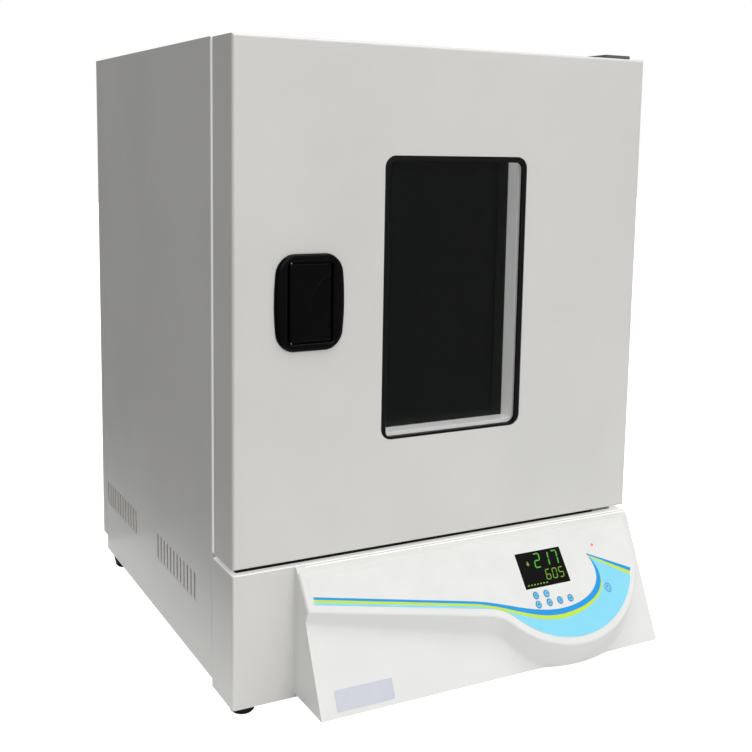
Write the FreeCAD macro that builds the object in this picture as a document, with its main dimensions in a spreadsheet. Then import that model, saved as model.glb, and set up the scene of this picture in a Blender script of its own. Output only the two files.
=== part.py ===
import FreeCAD, Part
import math
import os
import re

import Sketcher

# A bench-top laboratory incubator with forced air, in millimetres.
# X runs to the right, Y to the back and Z up.
# The origin is on the bench, under the middle of the object.

DRIVING = [
    ("cabinet_width", 480, "outside width of the door and the cabinet"),
    ("door_front", -208.2, "Y of the door's front face"),
    ("door_bottom", 153, "Z of the door's lower edge"),
    ("door_height", 508, "height of the door"),
    ("door_thickness", 54, "thickness of the door"),
    ("door_gap", 6, "gap between the door and the cabinet"),
    ("door_edge_radius", 3, "rounding of the door's front edges"),
    ("cabinet_top", 662, "Z of the cabinet's top face"),
    ("cabinet_bottom", 18, "Z of the side panels' lower edge, the height of the feet"),
    ("cabinet_depth", 422, "depth of the side panels"),
    ("gauge", 1.2, "thickness of the painted sheet steel"),
    ("return_flange", 12, "width of the side panels' folded edges"),
    ("fold_radius", 2, "outside radius of a folded corner"),
    ("rear_cover_depth", 19.2, "depth of the rear cover"),
    ("rear_cover_bottom", 36, "Z of the rear cover's lower edge"),
    ("plinth_bottom", 10, "Z of the lower front panel's lower edge"),
    ("plinth_top", 147, "Z of the lower front panel's top face"),
    ("chamber_width", 350, "inside width of the chamber"),
    ("chamber_height", 410, "inside height of the chamber"),
    ("chamber_depth", 363, "inside depth of the liner"),
    ("chamber_floor", 202, "Z of the chamber's floor"),
    ("liner_gauge", 1, "thickness of the stainless liner"),
    ("divider_height", 148.8, "Z of the divider under the lower insulation"),
    ("louvre_width", 3, "width of a louvre slot"),
    ("louvre_height", 31, "height of a louvre slot"),
    ("louvre_pitch", 12, "distance between louvre slots"),
    ("louvre_count", 12, "slots in a group"),
    ("louvre_bottom", 63, "height of the louvres above the side panels' lower edge"),
    ("front_louvres", 55, "first slot of the front group, from the panel's front edge"),
    ("rear_louvres", 280, "first slot of the rear group, from the panel's front edge"),
    ("window_width", 169, "width of the cut-out in the door"),
    ("window_height", 288, "height of the cut-out in the door"),
    ("window_left", 159, "cut-out's left edge, from the door's left edge"),
    ("window_sill", 112, "cut-out's lower edge, from the door's lower edge"),
    ("window_radius", 12, "corner radius of the cut-out"),
    ("window_seal", 6, "visible width of the black window gasket"),
    ("glass_thickness", 4, "thickness of each glass pane"),
    ("outer_glass_depth", 2.5, "outer pane's front, behind the door's front"),
    ("inner_glass_depth", 26, "inner pane's front, behind the door's front"),
    ("seal_width", 12, "width of the door gasket"),
    ("seal_thickness", 5.6, "thickness of the door gasket when the door is shut"),
    ("seal_margin", 8, "distance from the chamber's edge to the gasket's inner edge"),
    ("handle_left", 41.5, "handle bezel's left edge, from the door's left edge"),
    ("handle_bottom", 210.5, "handle bezel's lower edge, from the door's lower edge"),
    ("handle_width", 74, "width of the handle bezel"),
    ("handle_height", 95, "height of the handle bezel"),
    ("handle_proud", 4, "how far the bezel stands out of the door"),
    ("cup_depth", 24, "depth of the handle's cup behind the door's front"),
    ("cup_margin", 8, "distance from the bezel's edge to the cup's outside"),
    ("flap_width", 44, "width of the handle flap"),
    ("flap_height", 76, "height of the handle flap"),
    ("flap_thickness", 5, "thickness of the handle flap"),
    ("flap_margin", 1.5, "gap around the flap"),
    ("scoop_width", 20, "depth of the finger scoop in the flap's free edge"),
    ("scoop_height", 53, "height of the finger scoop"),
    ("flap_pin_radius", 0.95, "radius of the flap's pin"),
    ("flap_pin_clearance", 0.06, "running clearance of the flap on its pin"),
    ("hinge_inset", 18, "hinge axis from the door's right edge"),
    ("hinge_setback", 19, "hinge axis behind the door's front"),
    ("hinge_pin_radius", 5, "radius of the hinge pins"),
    ("hinge_clearance", 0.06, "running clearance of the bushes on the pins"),
    ("bush_radius", 8, "outside radius of the hinge bushes"),
    ("bush_length", 20, "length of a hinge bush inside the door"),
    ("hinge_plate", 3, "thickness of the hinge brackets"),
    ("latch_setback", 26, "latch magnet's middle, from the door's left edge"),
    ("latch_level", 258, "latch magnet's middle, from the door's lower edge"),
    ("magnet_width", 14, "width of the latch magnet"),
    ("magnet_height", 30, "height of the latch magnet"),
    ("magnet_depth", 12, "thickness of the latch magnet"),
    ("magnet_travel", 6, "travel of the latch magnet"),
    ("shelf_rod_radius", 2.5, "radius of a shelf's side rods"),
    ("shelf_end_radius", 2.1, "radius of a shelf's front and rear rods"),
    ("shelf_wire_radius", 1.25, "radius of a shelf's cross wires"),
    ("shelf_width", 334, "distance between the shelf's side rods' middles"),
    ("shelf_depth", 300, "distance between the shelf's front and rear rods' middles"),
    ("shelf_wires", 19, "cross wires in a shelf"),
    ("runner_width", 12, "width of a shelf runner"),
    ("runner_gauge", 1.5, "thickness of a shelf runner"),
    ("runner_pitch", 40, "distance between shelf runners"),
    ("runner_count", 9, "runners on each side"),
    ("runner_first", 45, "lowest runner's top, above the chamber's floor"),
    ("shelf_inset", 14, "front of a shelf, behind the cabinet's front"),
    ("fan_radius", 62, "radius of the fan wheel"),
    ("fan_depth", 15, "depth of the fan wheel"),
    ("fan_blades", 8, "blades on the fan wheel"),
    ("shaft_radius", 4, "radius of the fan shaft"),
    ("shaft_clearance", 0.05, "running clearance of the fan shaft"),
    ("plenum_depth", 25, "gap between the air baffle and the liner's rear wall"),
    ("heater_radius", 82, "radius of the ring heater"),
    ("heater_tube", 4.2, "radius of the heater's tube"),
    ("motor_radius", 36, "radius of the fan motor"),
    ("vent_radius", 12.5, "inside radius of the vent tube"),
    ("vent_wall", 2, "wall of the vent tube"),
    ("vent_back", 122, "Y of the vent"),
    ("vent_hole", 4.8, "radius of the two air holes in the vent and its cap"),
    ("vent_hole_offset", 7.3, "distance of the air holes from the vent's axis"),
    ("cap_stem_radius", 2, "radius of the cap's stem"),
    ("cap_stem_clearance", 0.06, "running clearance of the cap's stem"),
    ("cap_radius", 21, "radius of the vent cap"),
    ("cap_height", 9, "height of the vent cap"),
    ("panel_left", -175, "X of the control housing's left end"),
    ("panel_right", 240, "X of the control housing's right end"),
    ("panel_bottom", 15, "Z of the control housing's lower face"),
    ("wedge_tilt", 25.3, "tilt of the housing's lower front face from vertical, degrees"),
    ("control_tilt", 38, "tilt of the control face from vertical, degrees"),
    ("control_out", 9, "control face's origin, in front of the door's front"),
    ("control_level", 142.5, "Z of the control face's origin"),
    ("slab_sweep", 23.5, "slope of the raised control slab's side wall from vertical, degrees"),
    ("slab_top", 3, "control face's top edge, up the slope from its origin"),
    ("slab_left_drop", 38.5, "control face's lower left corner, down the slope"),
    ("slab_slope", 11.5, "fall of the control face's lower edge, degrees"),
    ("disc_x", 124.7, "middle of the control face's round end"),
    ("disc_drop", 18.5, "middle of the round end, down the slope"),
    ("disc_radius", 107.7, "radius of the round end"),
    ("shoulder_radius", 42, "radius between the lower edge and the round end"),
    ("rim_rounding", 3, "rounding of the control face's rim"),
    ("slab_blend", 6, "radius where the slab's side runs into the lower face"),
    ("housing_wall", 3.5, "wall of the control housing"),
    ("overlay_inset", 7.5, "overlay's distance from the control face's rim"),
    ("overlay_top", -6.5, "overlay's top edge, up the slope from the face's origin"),
    ("overlay_thickness", 0.5, "thickness of the overlay"),
    ("display_x", 73, "display window's left edge"),
    ("display_drop", 59.8, "display window's lower edge, down the slope"),
    ("display_width", 59, "width of the display window"),
    ("display_height", 39.4, "height of the display window"),
    ("key_width", 7, "width of a small key"),
    ("key_height", 7.8, "height of a small key"),
    ("power_key_width", 10, "width of the power key"),
    ("power_key_height", 12.5, "height of the power key"),
    ("key_gap", 0.3, "gap around a key"),
    ("key_stem", 5, "depth of a key below the control face"),
    ("key_proud", 0.9, "how far a key stands out of the control face"),
    ("lamp_radius", 1.6, "radius of the status lamp"),
    ("nameplate_width", 63, "width of the blank nameplate"),
    ("nameplate_height", 20, "height of the blank nameplate"),
    ("foot_radius", 15.5, "top radius of a foot"),
    ("foot_tip_radius", 12, "bottom radius of a foot"),
    ("foot_inset", 15.5, "foot's middle, from the cabinet's side"),
    ("front_foot", 18, "front feet's middle, behind the door's front"),
    ("rear_foot", 455, "rear feet's middle, behind the door's front"),
    ("inlet_x", -150, "X of the mains inlet"),
    ("inlet_level", 92, "Z of the mains inlet's middle"),
]

SMALL_KEYS = {  # key: (X, distance down the slope)
    "key_menu": (82.7, 67.6),
    "key_timer": (96.2, 67.6),
    "key_down": (82.2, 77.4),
    "key_up": (96.5, 77.4),
    "key_set": (110.3, 77.4),
    "key_start": (124.1, 77.4),
}
POWER_KEY = (176.3, 74.9)
STATUS_LAMP = (175.7, 25.5)
NAMEPLATE_CORNER = (-157, 127)  # X, distance down the lower face
SHELF_LEVELS = {"lower_shelf": 2, "upper_shelf": 6}  # shelf: number of its runner

ALIAS = re.compile(r"[a-z][a-z_]{2,}")
X_AXIS = FreeCAD.Vector(1, 0, 0)
Y_AXIS = FreeCAD.Vector(0, 1, 0)
Z_AXIS = FreeCAD.Vector(0, 0, 1)
POINTING = {
    "x": FreeCAD.Rotation(Y_AXIS, 90),
    "y": FreeCAD.Rotation(X_AXIS, -90),
    "z": FreeCAD.Rotation(),
}

doc = FreeCAD.newDocument("incubator")
nodes = {}


def make_sheet():
    sheet = doc.addObject("Spreadsheet::Sheet", "dims")
    for row, (alias, value, note) in enumerate(DRIVING, start=1):
        sheet.set(f"A{row}", alias)
        sheet.set(f"B{row}", str(value))
        sheet.setAlias(f"B{row}", alias)
        sheet.set(f"C{row}", note)
    doc.recompute()
    return sheet


dims = make_sheet()


def size(alias):
    return float(dims.get(alias))


def bind(target, prop, formula):
    """Ties a property to a formula written with the sheet's aliases."""
    target.setExpression(prop, ALIAS.sub(lambda found: "dims." + found.group(0), str(formula)))


def place(target, corner):
    for axis, formula in zip("xyz", corner):
        bind(target, "Placement.Base." + axis, formula)
    return target


def node(name, made):
    """Keeps an object as the sub-part of that name."""
    made.Label = name
    nodes[name] = made
    return made


# Part primitives and booleans -------------------------------------------------------------------


def block(lengths, corner):
    made = doc.addObject("Part::Box", "block")
    for prop, formula in zip(("Length", "Width", "Height"), lengths):
        bind(made, prop, formula)
    return place(made, corner)


def rod(radius, length, start, along="z"):
    made = doc.addObject("Part::Cylinder", "rod")
    bind(made, "Radius", radius)
    bind(made, "Height", length)
    made.Placement = FreeCAD.Placement(FreeCAD.Vector(), POINTING[along])
    return place(made, start)


def cone(lower, upper, length, start):
    made = doc.addObject("Part::Cone", "cone")
    bind(made, "Radius1", lower)
    bind(made, "Radius2", upper)
    bind(made, "Height", length)
    return place(made, start)


def fuse(*pieces):
    made = doc.addObject("Part::MultiFuse", "fuse")
    made.Shapes = list(pieces)
    return made


def group(*pieces):
    made = doc.addObject("Part::Compound", "group")
    made.Links = list(pieces)
    return made


def cut(base, *tools):
    made = doc.addObject("Part::Cut", "cut")
    made.Base = base
    made.Tool = tools[0] if len(tools) == 1 else fuse(*tools)
    return made


# PartDesign bodies ------------------------------------------------------------------------------


def new_body(name, corner):
    body = doc.addObject("PartDesign::Body", name)
    return place(node(name, body), corner)


def outline(body, plane, points):
    """A closed, fully constrained outline on one of the body's origin planes."""
    sketch = body.newObject("Sketcher::SketchObject", "outline")
    planes = {feature.Role: feature for feature in body.Origin.OriginFeatures}
    sketch.AttachmentSupport = (planes[plane + "_Plane"], [""])
    sketch.MapMode = "FlatFace"
    add_loop(sketch, points)
    return sketch


def add_loop(sketch, points):
    first = sketch.GeometryCount
    count = len(points)
    turns = [2 * math.pi * i / count for i in range(count)]
    start = [FreeCAD.Vector(50 * math.cos(a), 50 * math.sin(a), 0) for a in turns]
    for i in range(count):
        sketch.addGeometry(Part.LineSegment(start[i], start[(i + 1) % count]), False)
    for i in range(count):
        following = first + (i + 1) % count
        sketch.addConstraint(Sketcher.Constraint("Coincident", first + i, 2, following, 1))
    for i, (across, up) in enumerate(points):
        for kind, now, formula in (("DistanceX", start[i].x, across), ("DistanceY", start[i].y, up)):
            index = sketch.addConstraint(Sketcher.Constraint(kind, -1, 1, first + i, 1, now))
            bind(sketch, f"Constraints[{index}]", formula)


def rectangle(left, low, width, height):
    right = f"({left}) + ({width})"
    high = f"({low}) + ({height})"
    return [(left, low), (right, low), (right, high), (left, high)]


def pad(body, sketch, length, backwards=False):
    made = body.newObject("PartDesign::Pad", "pad")
    made.Profile = sketch
    made.Reversed = backwards
    bind(made, "Length", length)
    doc.recompute()
    return made


def pocket(body, sketch, length, backwards=False):
    before = body.Shape.Volume
    made = body.newObject("PartDesign::Pocket", "pocket")
    made.Profile = sketch
    made.Reversed = backwards
    bind(made, "Length", length)
    doc.recompute()
    if body.Shape.Volume > before - 1e-3:
        raise ValueError(f"a pocket of {body.Label} cuts nothing")
    return made


def round_edges(body, radius, chosen):
    """Rounds the edges of the body's tip that the test picks."""
    base = body.Tip
    names = [f"Edge{i}" for i, edge in enumerate(base.Shape.Edges, start=1) if chosen(edge)]
    made = body.newObject("PartDesign::Fillet", "rounding")
    made.Base = (base, names)
    bind(made, "Radius", radius)
    doc.recompute()
    return made


def repeat(body, feature, axis, pitch, count):
    made = body.newObject("PartDesign::LinearPattern", "row")
    made.Originals = [feature]
    axes = {found.Role: found for found in body.Origin.OriginFeatures}
    made.Direction = (axes[axis + "_Axis"], [""])
    bind(made, "Length", f"({pitch}) * (({count}) - 1)")
    bind(made, "Occurrences", count)
    body.Tip = made
    doc.recompute()
    return made


def along(edge, axis):
    ends = [vertex.Point for vertex in edge.Vertexes]
    return len(ends) == 2 and (ends[1] - ends[0]).normalize().isEqual(axis, 1e-6) or (
        len(ends) == 2 and (ends[0] - ends[1]).normalize().isEqual(axis, 1e-6)
    )


# Frequently used levels, as formulas ------------------------------------------------------------

HALF = "cabinet_width / 2"
CABINET_FRONT = "door_front + door_thickness + door_gap"
CABINET_BACK = CABINET_FRONT + " + cabinet_depth"
DOOR_BACK = "door_front + door_thickness"
LINER_FRONT = CABINET_FRONT + " + gauge"
LINER_BACK = LINER_FRONT + " + chamber_depth"
INSIDE = "cabinet_width - 2 * gauge"
CHAMBER_TOP = "chamber_floor + chamber_height"
CHAMBER_MIDDLE = "chamber_floor + chamber_height / 2"
SHEET_TOP = "cabinet_top - gauge"
HINGE_X = "cabinet_width / 2 - hinge_inset"
HINGE_Y = "door_front + hinge_setback"
HEATER_LEGS = (-18, 18)
HEATER_LEG_LEVEL = f"{CHAMBER_MIDDLE} - heater_radius"
PROBE_X = -120
PROBE_LEVEL = f"{CHAMBER_TOP} - 60"


# Cabinet ----------------------------------------------------------------------------------------


def side_panel(name, outward):
    """A channel of folded sheet with two groups of louvre slots; outward is -1 or 1."""
    body = new_body(name, (f"{outward} * {HALF}", CABINET_FRONT, "cabinet_bottom"))
    fold, skin = (f"{-outward} * return_flange", f"{-outward} * gauge")
    channel = [
        (0, 0),
        (fold, 0),
        (fold, "gauge"),
        (skin, "gauge"),
        (skin, "cabinet_depth - gauge"),
        (fold, "cabinet_depth - gauge"),
        (fold, "cabinet_depth"),
        (0, "cabinet_depth"),
    ]
    pad(body, outline(body, "XY", channel), f"{SHEET_TOP} - cabinet_bottom")
    round_edges(body, "fold_radius", lambda e: along(e, Z_AXIS) and abs(e.CenterOfMass.x) < 0.01)
    front_slot, rear_slot = (
        rectangle(start, "louvre_bottom", "louvre_width", "louvre_height")
        for start in ("front_louvres", "rear_louvres")
    )
    slots = outline(body, "YZ", front_slot)
    add_loop(slots, rear_slot)
    slot = pocket(body, slots, "gauge", backwards=outward < 0)
    repeat(body, slot, "Y", "louvre_pitch", "louvre_count")


def top_panel():
    body = new_body("top_panel", (f"-{HALF}", CABINET_FRONT, SHEET_TOP))
    pad(body, outline(body, "XY", rectangle(0, 0, "cabinet_width", "cabinet_depth")), "gauge")
    sketch = body.newObject("Sketcher::SketchObject", "vent_hole")
    planes = {feature.Role: feature for feature in body.Origin.OriginFeatures}
    sketch.AttachmentSupport = (planes["XY_Plane"], [""])
    sketch.MapMode = "FlatFace"
    sketch.addGeometry(Part.Circle(FreeCAD.Vector(50, 50, 0), Z_AXIS, 10), False)
    radius = sketch.addConstraint(Sketcher.Constraint("Radius", 0, 10))
    across = sketch.addConstraint(Sketcher.Constraint("DistanceX", -1, 1, 0, 3, 50))
    back = sketch.addConstraint(Sketcher.Constraint("DistanceY", -1, 1, 0, 3, 50))
    bind(sketch, f"Constraints[{radius}]", "vent_radius + vent_wall")
    bind(sketch, f"Constraints[{across}]", HALF)
    bind(sketch, f"Constraints[{back}]", f"vent_back - ({CABINET_FRONT})")
    pocket(body, sketch, "gauge", backwards=True)


def rear_cover():
    """A shallow pan that stands back from the side panels; its lower edge ends above theirs."""
    tall = "(cabinet_top - rear_cover_bottom)"
    body = new_body("rear_cover", (f"-{HALF}", CABINET_BACK, "rear_cover_bottom"))
    face = outline(body, "XZ", rectangle(0, 0, "cabinet_width", tall))
    pad(body, face, "rear_cover_depth", backwards=True)
    round_edges(body, "fold_radius", lambda e: e.CenterOfMass.y > size("rear_cover_depth") - 0.01)
    hollow = rectangle("gauge", "gauge", INSIDE, f"{tall} - 2 * gauge")
    pocket(body, outline(body, "XZ", hollow), "rear_cover_depth - gauge")
    socket = ("inlet_x + cabinet_width / 2 - 14", "inlet_level - rear_cover_bottom - 10", 28, 20)
    pocket(body, outline(body, "XZ", rectangle(*socket)), "rear_cover_depth")
    slots = outline(body, "XZ", rectangle("cabinet_width / 2 - 77", 40, 3.5, 60))
    slot = pocket(body, slots, "rear_cover_depth")
    repeat(body, slot, "X", 14, 12)


def base_pan():
    """The floor of the cabinet, notched around the side panels' front folds, with a rear upstand."""
    deep = f"({CABINET_BACK} - gauge) - (door_front + gauge)"
    floor = block((INSIDE, deep, "gauge"), (f"-{HALF} + gauge", "door_front + gauge", "cabinet_bottom"))
    notches = [
        block(("return_flange", "gauge", "gauge"), (x, CABINET_FRONT, "cabinet_bottom"))
        for x in (f"-{HALF}", f"{HALF} - return_flange")
    ]
    upstand = block(
        ("cabinet_width - 2 * return_flange", "gauge", 30),
        (f"-{HALF} + return_flange", f"{CABINET_BACK} - gauge", "cabinet_bottom"),
    )
    node("base_pan", cut(fuse(floor, upstand), *notches))


def lower_front_panel():
    """A box of folded sheet under the door, open at the back and below."""
    deep = "(door_thickness + door_gap)"
    body = new_body("lower_front_panel", (f"-{HALF}", "door_front", "plinth_bottom"))
    tall = "(plinth_top - plinth_bottom)"
    pad(body, outline(body, "XZ", rectangle(0, 0, "cabinet_width", tall)), deep, backwards=True)
    round_edges(body, "fold_radius", lambda e: along(e, Z_AXIS) and abs(e.CenterOfMass.y) < 0.01)
    hollow = rectangle("gauge", "gauge", INSIDE, deep)
    pocket(body, outline(body, "XY", hollow), f"{tall} - gauge", backwards=True)


def front_frame():
    """The painted frame around the chamber's mouth, with the opening cut to the liner's inside."""
    wide = "(cabinet_width - 2 * return_flange)"
    body = new_body("front_frame", (f"-{HALF} + return_flange", CABINET_FRONT, "plinth_top"))
    frame = rectangle(0, 0, wide, f"{SHEET_TOP} - plinth_top")
    pad(body, outline(body, "XZ", frame), "gauge", backwards=True)
    left = f"({wide} - chamber_width) / 2"
    mouth = rectangle(left, "chamber_floor - plinth_top", "chamber_width", "chamber_height")
    pocket(body, outline(body, "XZ", mouth), "gauge")

    def at_mouth(edge):
        return along(edge, Y_AXIS) and 5 < edge.CenterOfMass.x < size("cabinet_width") - 30

    round_edges(body, 6, at_mouth)


def divider_panel():
    deep = "cabinet_depth - 2 * gauge"
    plate = block((INSIDE, deep, "gauge"), (f"-{HALF} + gauge", LINER_FRONT, "divider_height"))
    node("divider_panel", plate)


def rear_bulkhead():
    wide = "(cabinet_width - 2 * return_flange)"
    low = "cabinet_bottom + 30"
    corner = (f"-{wide} / 2", f"{CABINET_BACK} - gauge", low)
    sheet = block((wide, "gauge", f"{SHEET_TOP} - ({low})"), corner)
    motor = rod("motor_radius + 4", 10, (0, f"{CABINET_BACK} - 5", CHAMBER_MIDDLE), "y")
    inlet = block((34, 10, 26), ("inlet_x - 17", f"{CABINET_BACK} - 5", "inlet_level - 13"))
    node("rear_bulkhead", cut(sheet, motor, inlet))


def chamber_liner():
    outer = "chamber_width + 2 * liner_gauge"
    shell = block(
        (outer, "chamber_depth + liner_gauge", "chamber_height + 2 * liner_gauge"),
        (f"-({outer}) / 2", LINER_FRONT, "chamber_floor - liner_gauge"),
    )
    hollow = block(
        ("chamber_width", "chamber_depth + 1", "chamber_height"),
        ("-chamber_width / 2", f"{LINER_FRONT} - 1", "chamber_floor"),
    )
    shaft = rod("shaft_radius + 3", 20, (0, f"{LINER_BACK} - 10", CHAMBER_MIDDLE), "y")
    legs = [
        rod("heater_tube + 0.8", 20, (x, f"{LINER_BACK} - 10", f"{HEATER_LEG_LEVEL} + 2"), "y")
        for x in HEATER_LEGS
    ]
    probe = rod(3.8, 20, (PROBE_X, f"{LINER_BACK} - 10", PROBE_LEVEL), "y")
    vent = rod("vent_radius + vent_wall", 20, (0, "vent_back", f"{CHAMBER_TOP} - 10"))
    node("chamber_liner", cut(shell, hollow, shaft, *legs, probe, vent))


def insulation():
    outer = "(chamber_width + 2 * liner_gauge)"
    tall = "(chamber_height + 2 * liner_gauge)"
    side = f"({INSIDE} - {outer}) / 2"
    deep = "(chamber_depth + liner_gauge)"
    full = "(cabinet_depth - 2 * gauge)"
    left = block((side, deep, tall), (f"-{HALF} + gauge", LINER_FRONT, "chamber_floor - liner_gauge"))
    right = block((side, deep, tall), (f"{outer} / 2", LINER_FRONT, "chamber_floor - liner_gauge"))
    node("insulation_sides", group(left, right))
    roof = f"{CHAMBER_TOP} + liner_gauge"
    top = block((INSIDE, full, f"{SHEET_TOP} - ({roof})"), (f"-{HALF} + gauge", LINER_FRONT, roof))
    vent = rod("vent_radius + vent_wall", 80, (0, "vent_back", f"{CHAMBER_TOP} - 10"))
    node("insulation_top", cut(top, vent))
    low = "divider_height + gauge"
    thickness = f"chamber_floor - liner_gauge - ({low})"
    bottom = block((INSIDE, full, thickness), (f"-{HALF} + gauge", LINER_FRONT, low))
    node("insulation_bottom", bottom)
    back = f"{LINER_BACK} + liner_gauge"
    thick = f"({CABINET_BACK} - gauge) - ({back})"
    rear = block((INSIDE, thick, tall), (f"-{HALF} + gauge", back, "chamber_floor - liner_gauge"))
    motor = rod("motor_radius + 4", 100, (0, f"{back} - 10", CHAMBER_MIDDLE), "y")
    heater = block((60, 100, 24), (-30, f"{back} - 10", f"{HEATER_LEG_LEVEL} - 12"))
    probe = rod(3.8, 100, (PROBE_X, f"{back} - 10", PROBE_LEVEL), "y")
    node("insulation_rear", cut(rear, motor, heater, probe))


# Inside the chamber -----------------------------------------------------------------------------

RACK_DEPTH = "(shelf_depth + 2 * shelf_rod_radius)"
RACK_FRONT = f"{CABINET_FRONT} + shelf_inset"


def shelf_rack(name, outward):
    """Two uprights and a ladder of flat runners against the liner's side wall."""
    wall = f"{outward} * chamber_width / 2"
    upright_x = wall if outward < 0 else f"{wall} - 2"
    runner_x = wall if outward < 0 else f"{wall} - runner_width"
    uprights = [
        block((2, 14, "chamber_height - 30"), (upright_x, f"{RACK_FRONT} + ({inset})", "chamber_floor + 15"))
        for inset in (20, f"{RACK_DEPTH} - 34")
    ]
    runners = [
        block(
            ("runner_width", RACK_DEPTH, "runner_gauge"),
            (runner_x, RACK_FRONT, f"chamber_floor + runner_first + runner_pitch * {i} - runner_gauge"),
        )
        for i in range(int(size("runner_count")))
    ]
    node(name, fuse(*uprights, *runners))


def wire_shelf(name, runner):
    """A rod frame with cross wires, resting on one pair of runners."""
    level = f"chamber_floor + runner_first + runner_pitch * {runner} + shelf_rod_radius"
    front = f"{RACK_FRONT} + shelf_rod_radius"
    side_rods = [
        rod("shelf_rod_radius", RACK_DEPTH, (f"{side} * shelf_width / 2", RACK_FRONT, level), "y")
        for side in (-1, 1)
    ]
    end_rods = [
        rod("shelf_end_radius", "shelf_width", ("-shelf_width / 2", f"{front} + ({y})", level), "x")
        for y in (0, "shelf_depth")
    ]
    pitch = "shelf_width / (shelf_wires + 1)"
    wires = [
        rod("shelf_wire_radius", "shelf_depth", (f"-shelf_width / 2 + {pitch} * {i}", front, level), "y")
        for i in range(1, int(size("shelf_wires")) + 1)
    ]
    node(name, fuse(*side_rods, *end_rods, *wires))


def air_baffle():
    """A stainless sheet in front of the fan, with folded edges, an intake ring and outlet slots."""
    wide, tall = ("(chamber_width - 8)", "(chamber_height - 8)")
    front = f"{LINER_BACK} - plenum_depth"
    sheet = block((wide, "liner_gauge", tall), (f"-{wide} / 2", front, "chamber_floor + 4"))
    folds = [
        block(("liner_gauge", "plenum_depth", tall), (x, front, "chamber_floor + 4"))
        for x in (f"-{wide} / 2", f"{wide} / 2 - liner_gauge")
    ]
    tools = [rod(7, 10, (0, f"{front} - 5", CHAMBER_MIDDLE), "y")]
    for ring, holes in ((20, 6), (38, 12)):
        for i in range(holes):
            turn = 2 * math.pi * i / holes
            across, up = (ring * math.cos(turn), ring * math.sin(turn))
            tools.append(rod(6, 10, (across, f"{front} - 5", f"{CHAMBER_MIDDLE} + ({up})"), "y"))
    for side in (-1, 1):
        for i in range(7):
            level = f"chamber_floor + 40 + {i} * 50"
            tools.append(block((8, 10, 34), (f"{side} * 150 - 4", f"{front} - 5", level)))
    tools.append(rod(3.8, 10, (PROBE_X, f"{front} - 5", PROBE_LEVEL), "y"))
    node("air_baffle", cut(fuse(sheet, *folds), *tools))


def heater_element():
    """A tube bent to an open ring round the fan, with a terminal block and a leg at each end."""
    middle = f"{LINER_BACK} - plenum_depth / 2"
    half_gap = math.degrees(math.asin(HEATER_LEGS[1] / size("heater_radius")))
    ring = doc.addObject("Part::Torus", "ring")
    bind(ring, "Radius1", "heater_radius")
    bind(ring, "Radius2", "heater_tube")
    ring.Angle3 = 360 - 2 * half_gap
    turned = FreeCAD.Rotation(Y_AXIS, 90 + half_gap).multiply(POINTING["y"])
    ring.Placement = FreeCAD.Placement(FreeCAD.Vector(), turned)
    place(ring, (0, middle, CHAMBER_MIDDLE))
    blocks = [
        block((12, 12, 12), (f"{x} - 6", f"{middle} - 6", f"{HEATER_LEG_LEVEL} - 4")) for x in HEATER_LEGS
    ]
    legs = [
        rod("heater_tube", 40, (x, f"{middle} + 2", f"{HEATER_LEG_LEVEL} + 2"), "y")
        for x in HEATER_LEGS
    ]
    node("heater_element", fuse(ring, *blocks, *legs))


def fan():
    """The wheel and its shaft turn together: one node, the fan wheel."""
    middle = f"{LINER_BACK} - plenum_depth / 2"
    front = f"{middle} - fan_depth / 2"
    disc = rod("fan_radius", 1.5, (0, f"{front} + fan_depth - 1.5", CHAMBER_MIDDLE), "y")
    hub = rod(11, "fan_depth", (0, front, CHAMBER_MIDDLE), "y")
    shaft = rod("shaft_radius", 60, (0, f"{front} + 2", CHAMBER_MIDDLE), "y")
    blades = []
    for i in range(int(size("fan_blades"))):
        blade = doc.addObject("Part::Box", "blade")
        bind(blade, "Length", "fan_radius - 9")
        bind(blade, "Width", "fan_depth")
        blade.Height = 1.5
        turn = FreeCAD.Rotation(Y_AXIS, 360 * i / size("fan_blades"))
        root = turn.multVec(FreeCAD.Vector(8, 0, -0.75))
        blade.Placement = FreeCAD.Placement(root, turn)
        bind(blade, "Placement.Base.y", front)
        bind(blade, "Placement.Base.z", f"{CHAMBER_MIDDLE} + ({root.z})")
        blades.append(blade)
    node("fan_wheel", fuse(disc, hub, shaft, *blades))


def fan_motor():
    back = f"{LINER_BACK} + liner_gauge"
    plate = block((54, 2, 54), (-27, f"{back} + 10", f"{CHAMBER_MIDDLE} - 27"))
    can = rod("motor_radius", 50, (0, f"{back} + 12", CHAMBER_MIDDLE), "y")
    stays = [
        rod(3, 12, (x, back, f"{CHAMBER_MIDDLE} + ({z})"), "y") for x in (-22, 22) for z in (-22, 22)
    ]
    bore = rod("shaft_radius + shaft_clearance", 60, (0, f"{back} + 5", CHAMBER_MIDDLE), "y")
    node("fan_motor", cut(fuse(plate, can, *stays), bore))


def temperature_probe():
    sheath = rod(3, 80, (PROBE_X, f"{LINER_BACK} - 50", PROBE_LEVEL), "y")
    collar = rod(7, 6, (PROBE_X, f"{LINER_BACK} - 6", PROBE_LEVEL), "y")
    node("temperature_probe", fuse(sheath, collar))


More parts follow.
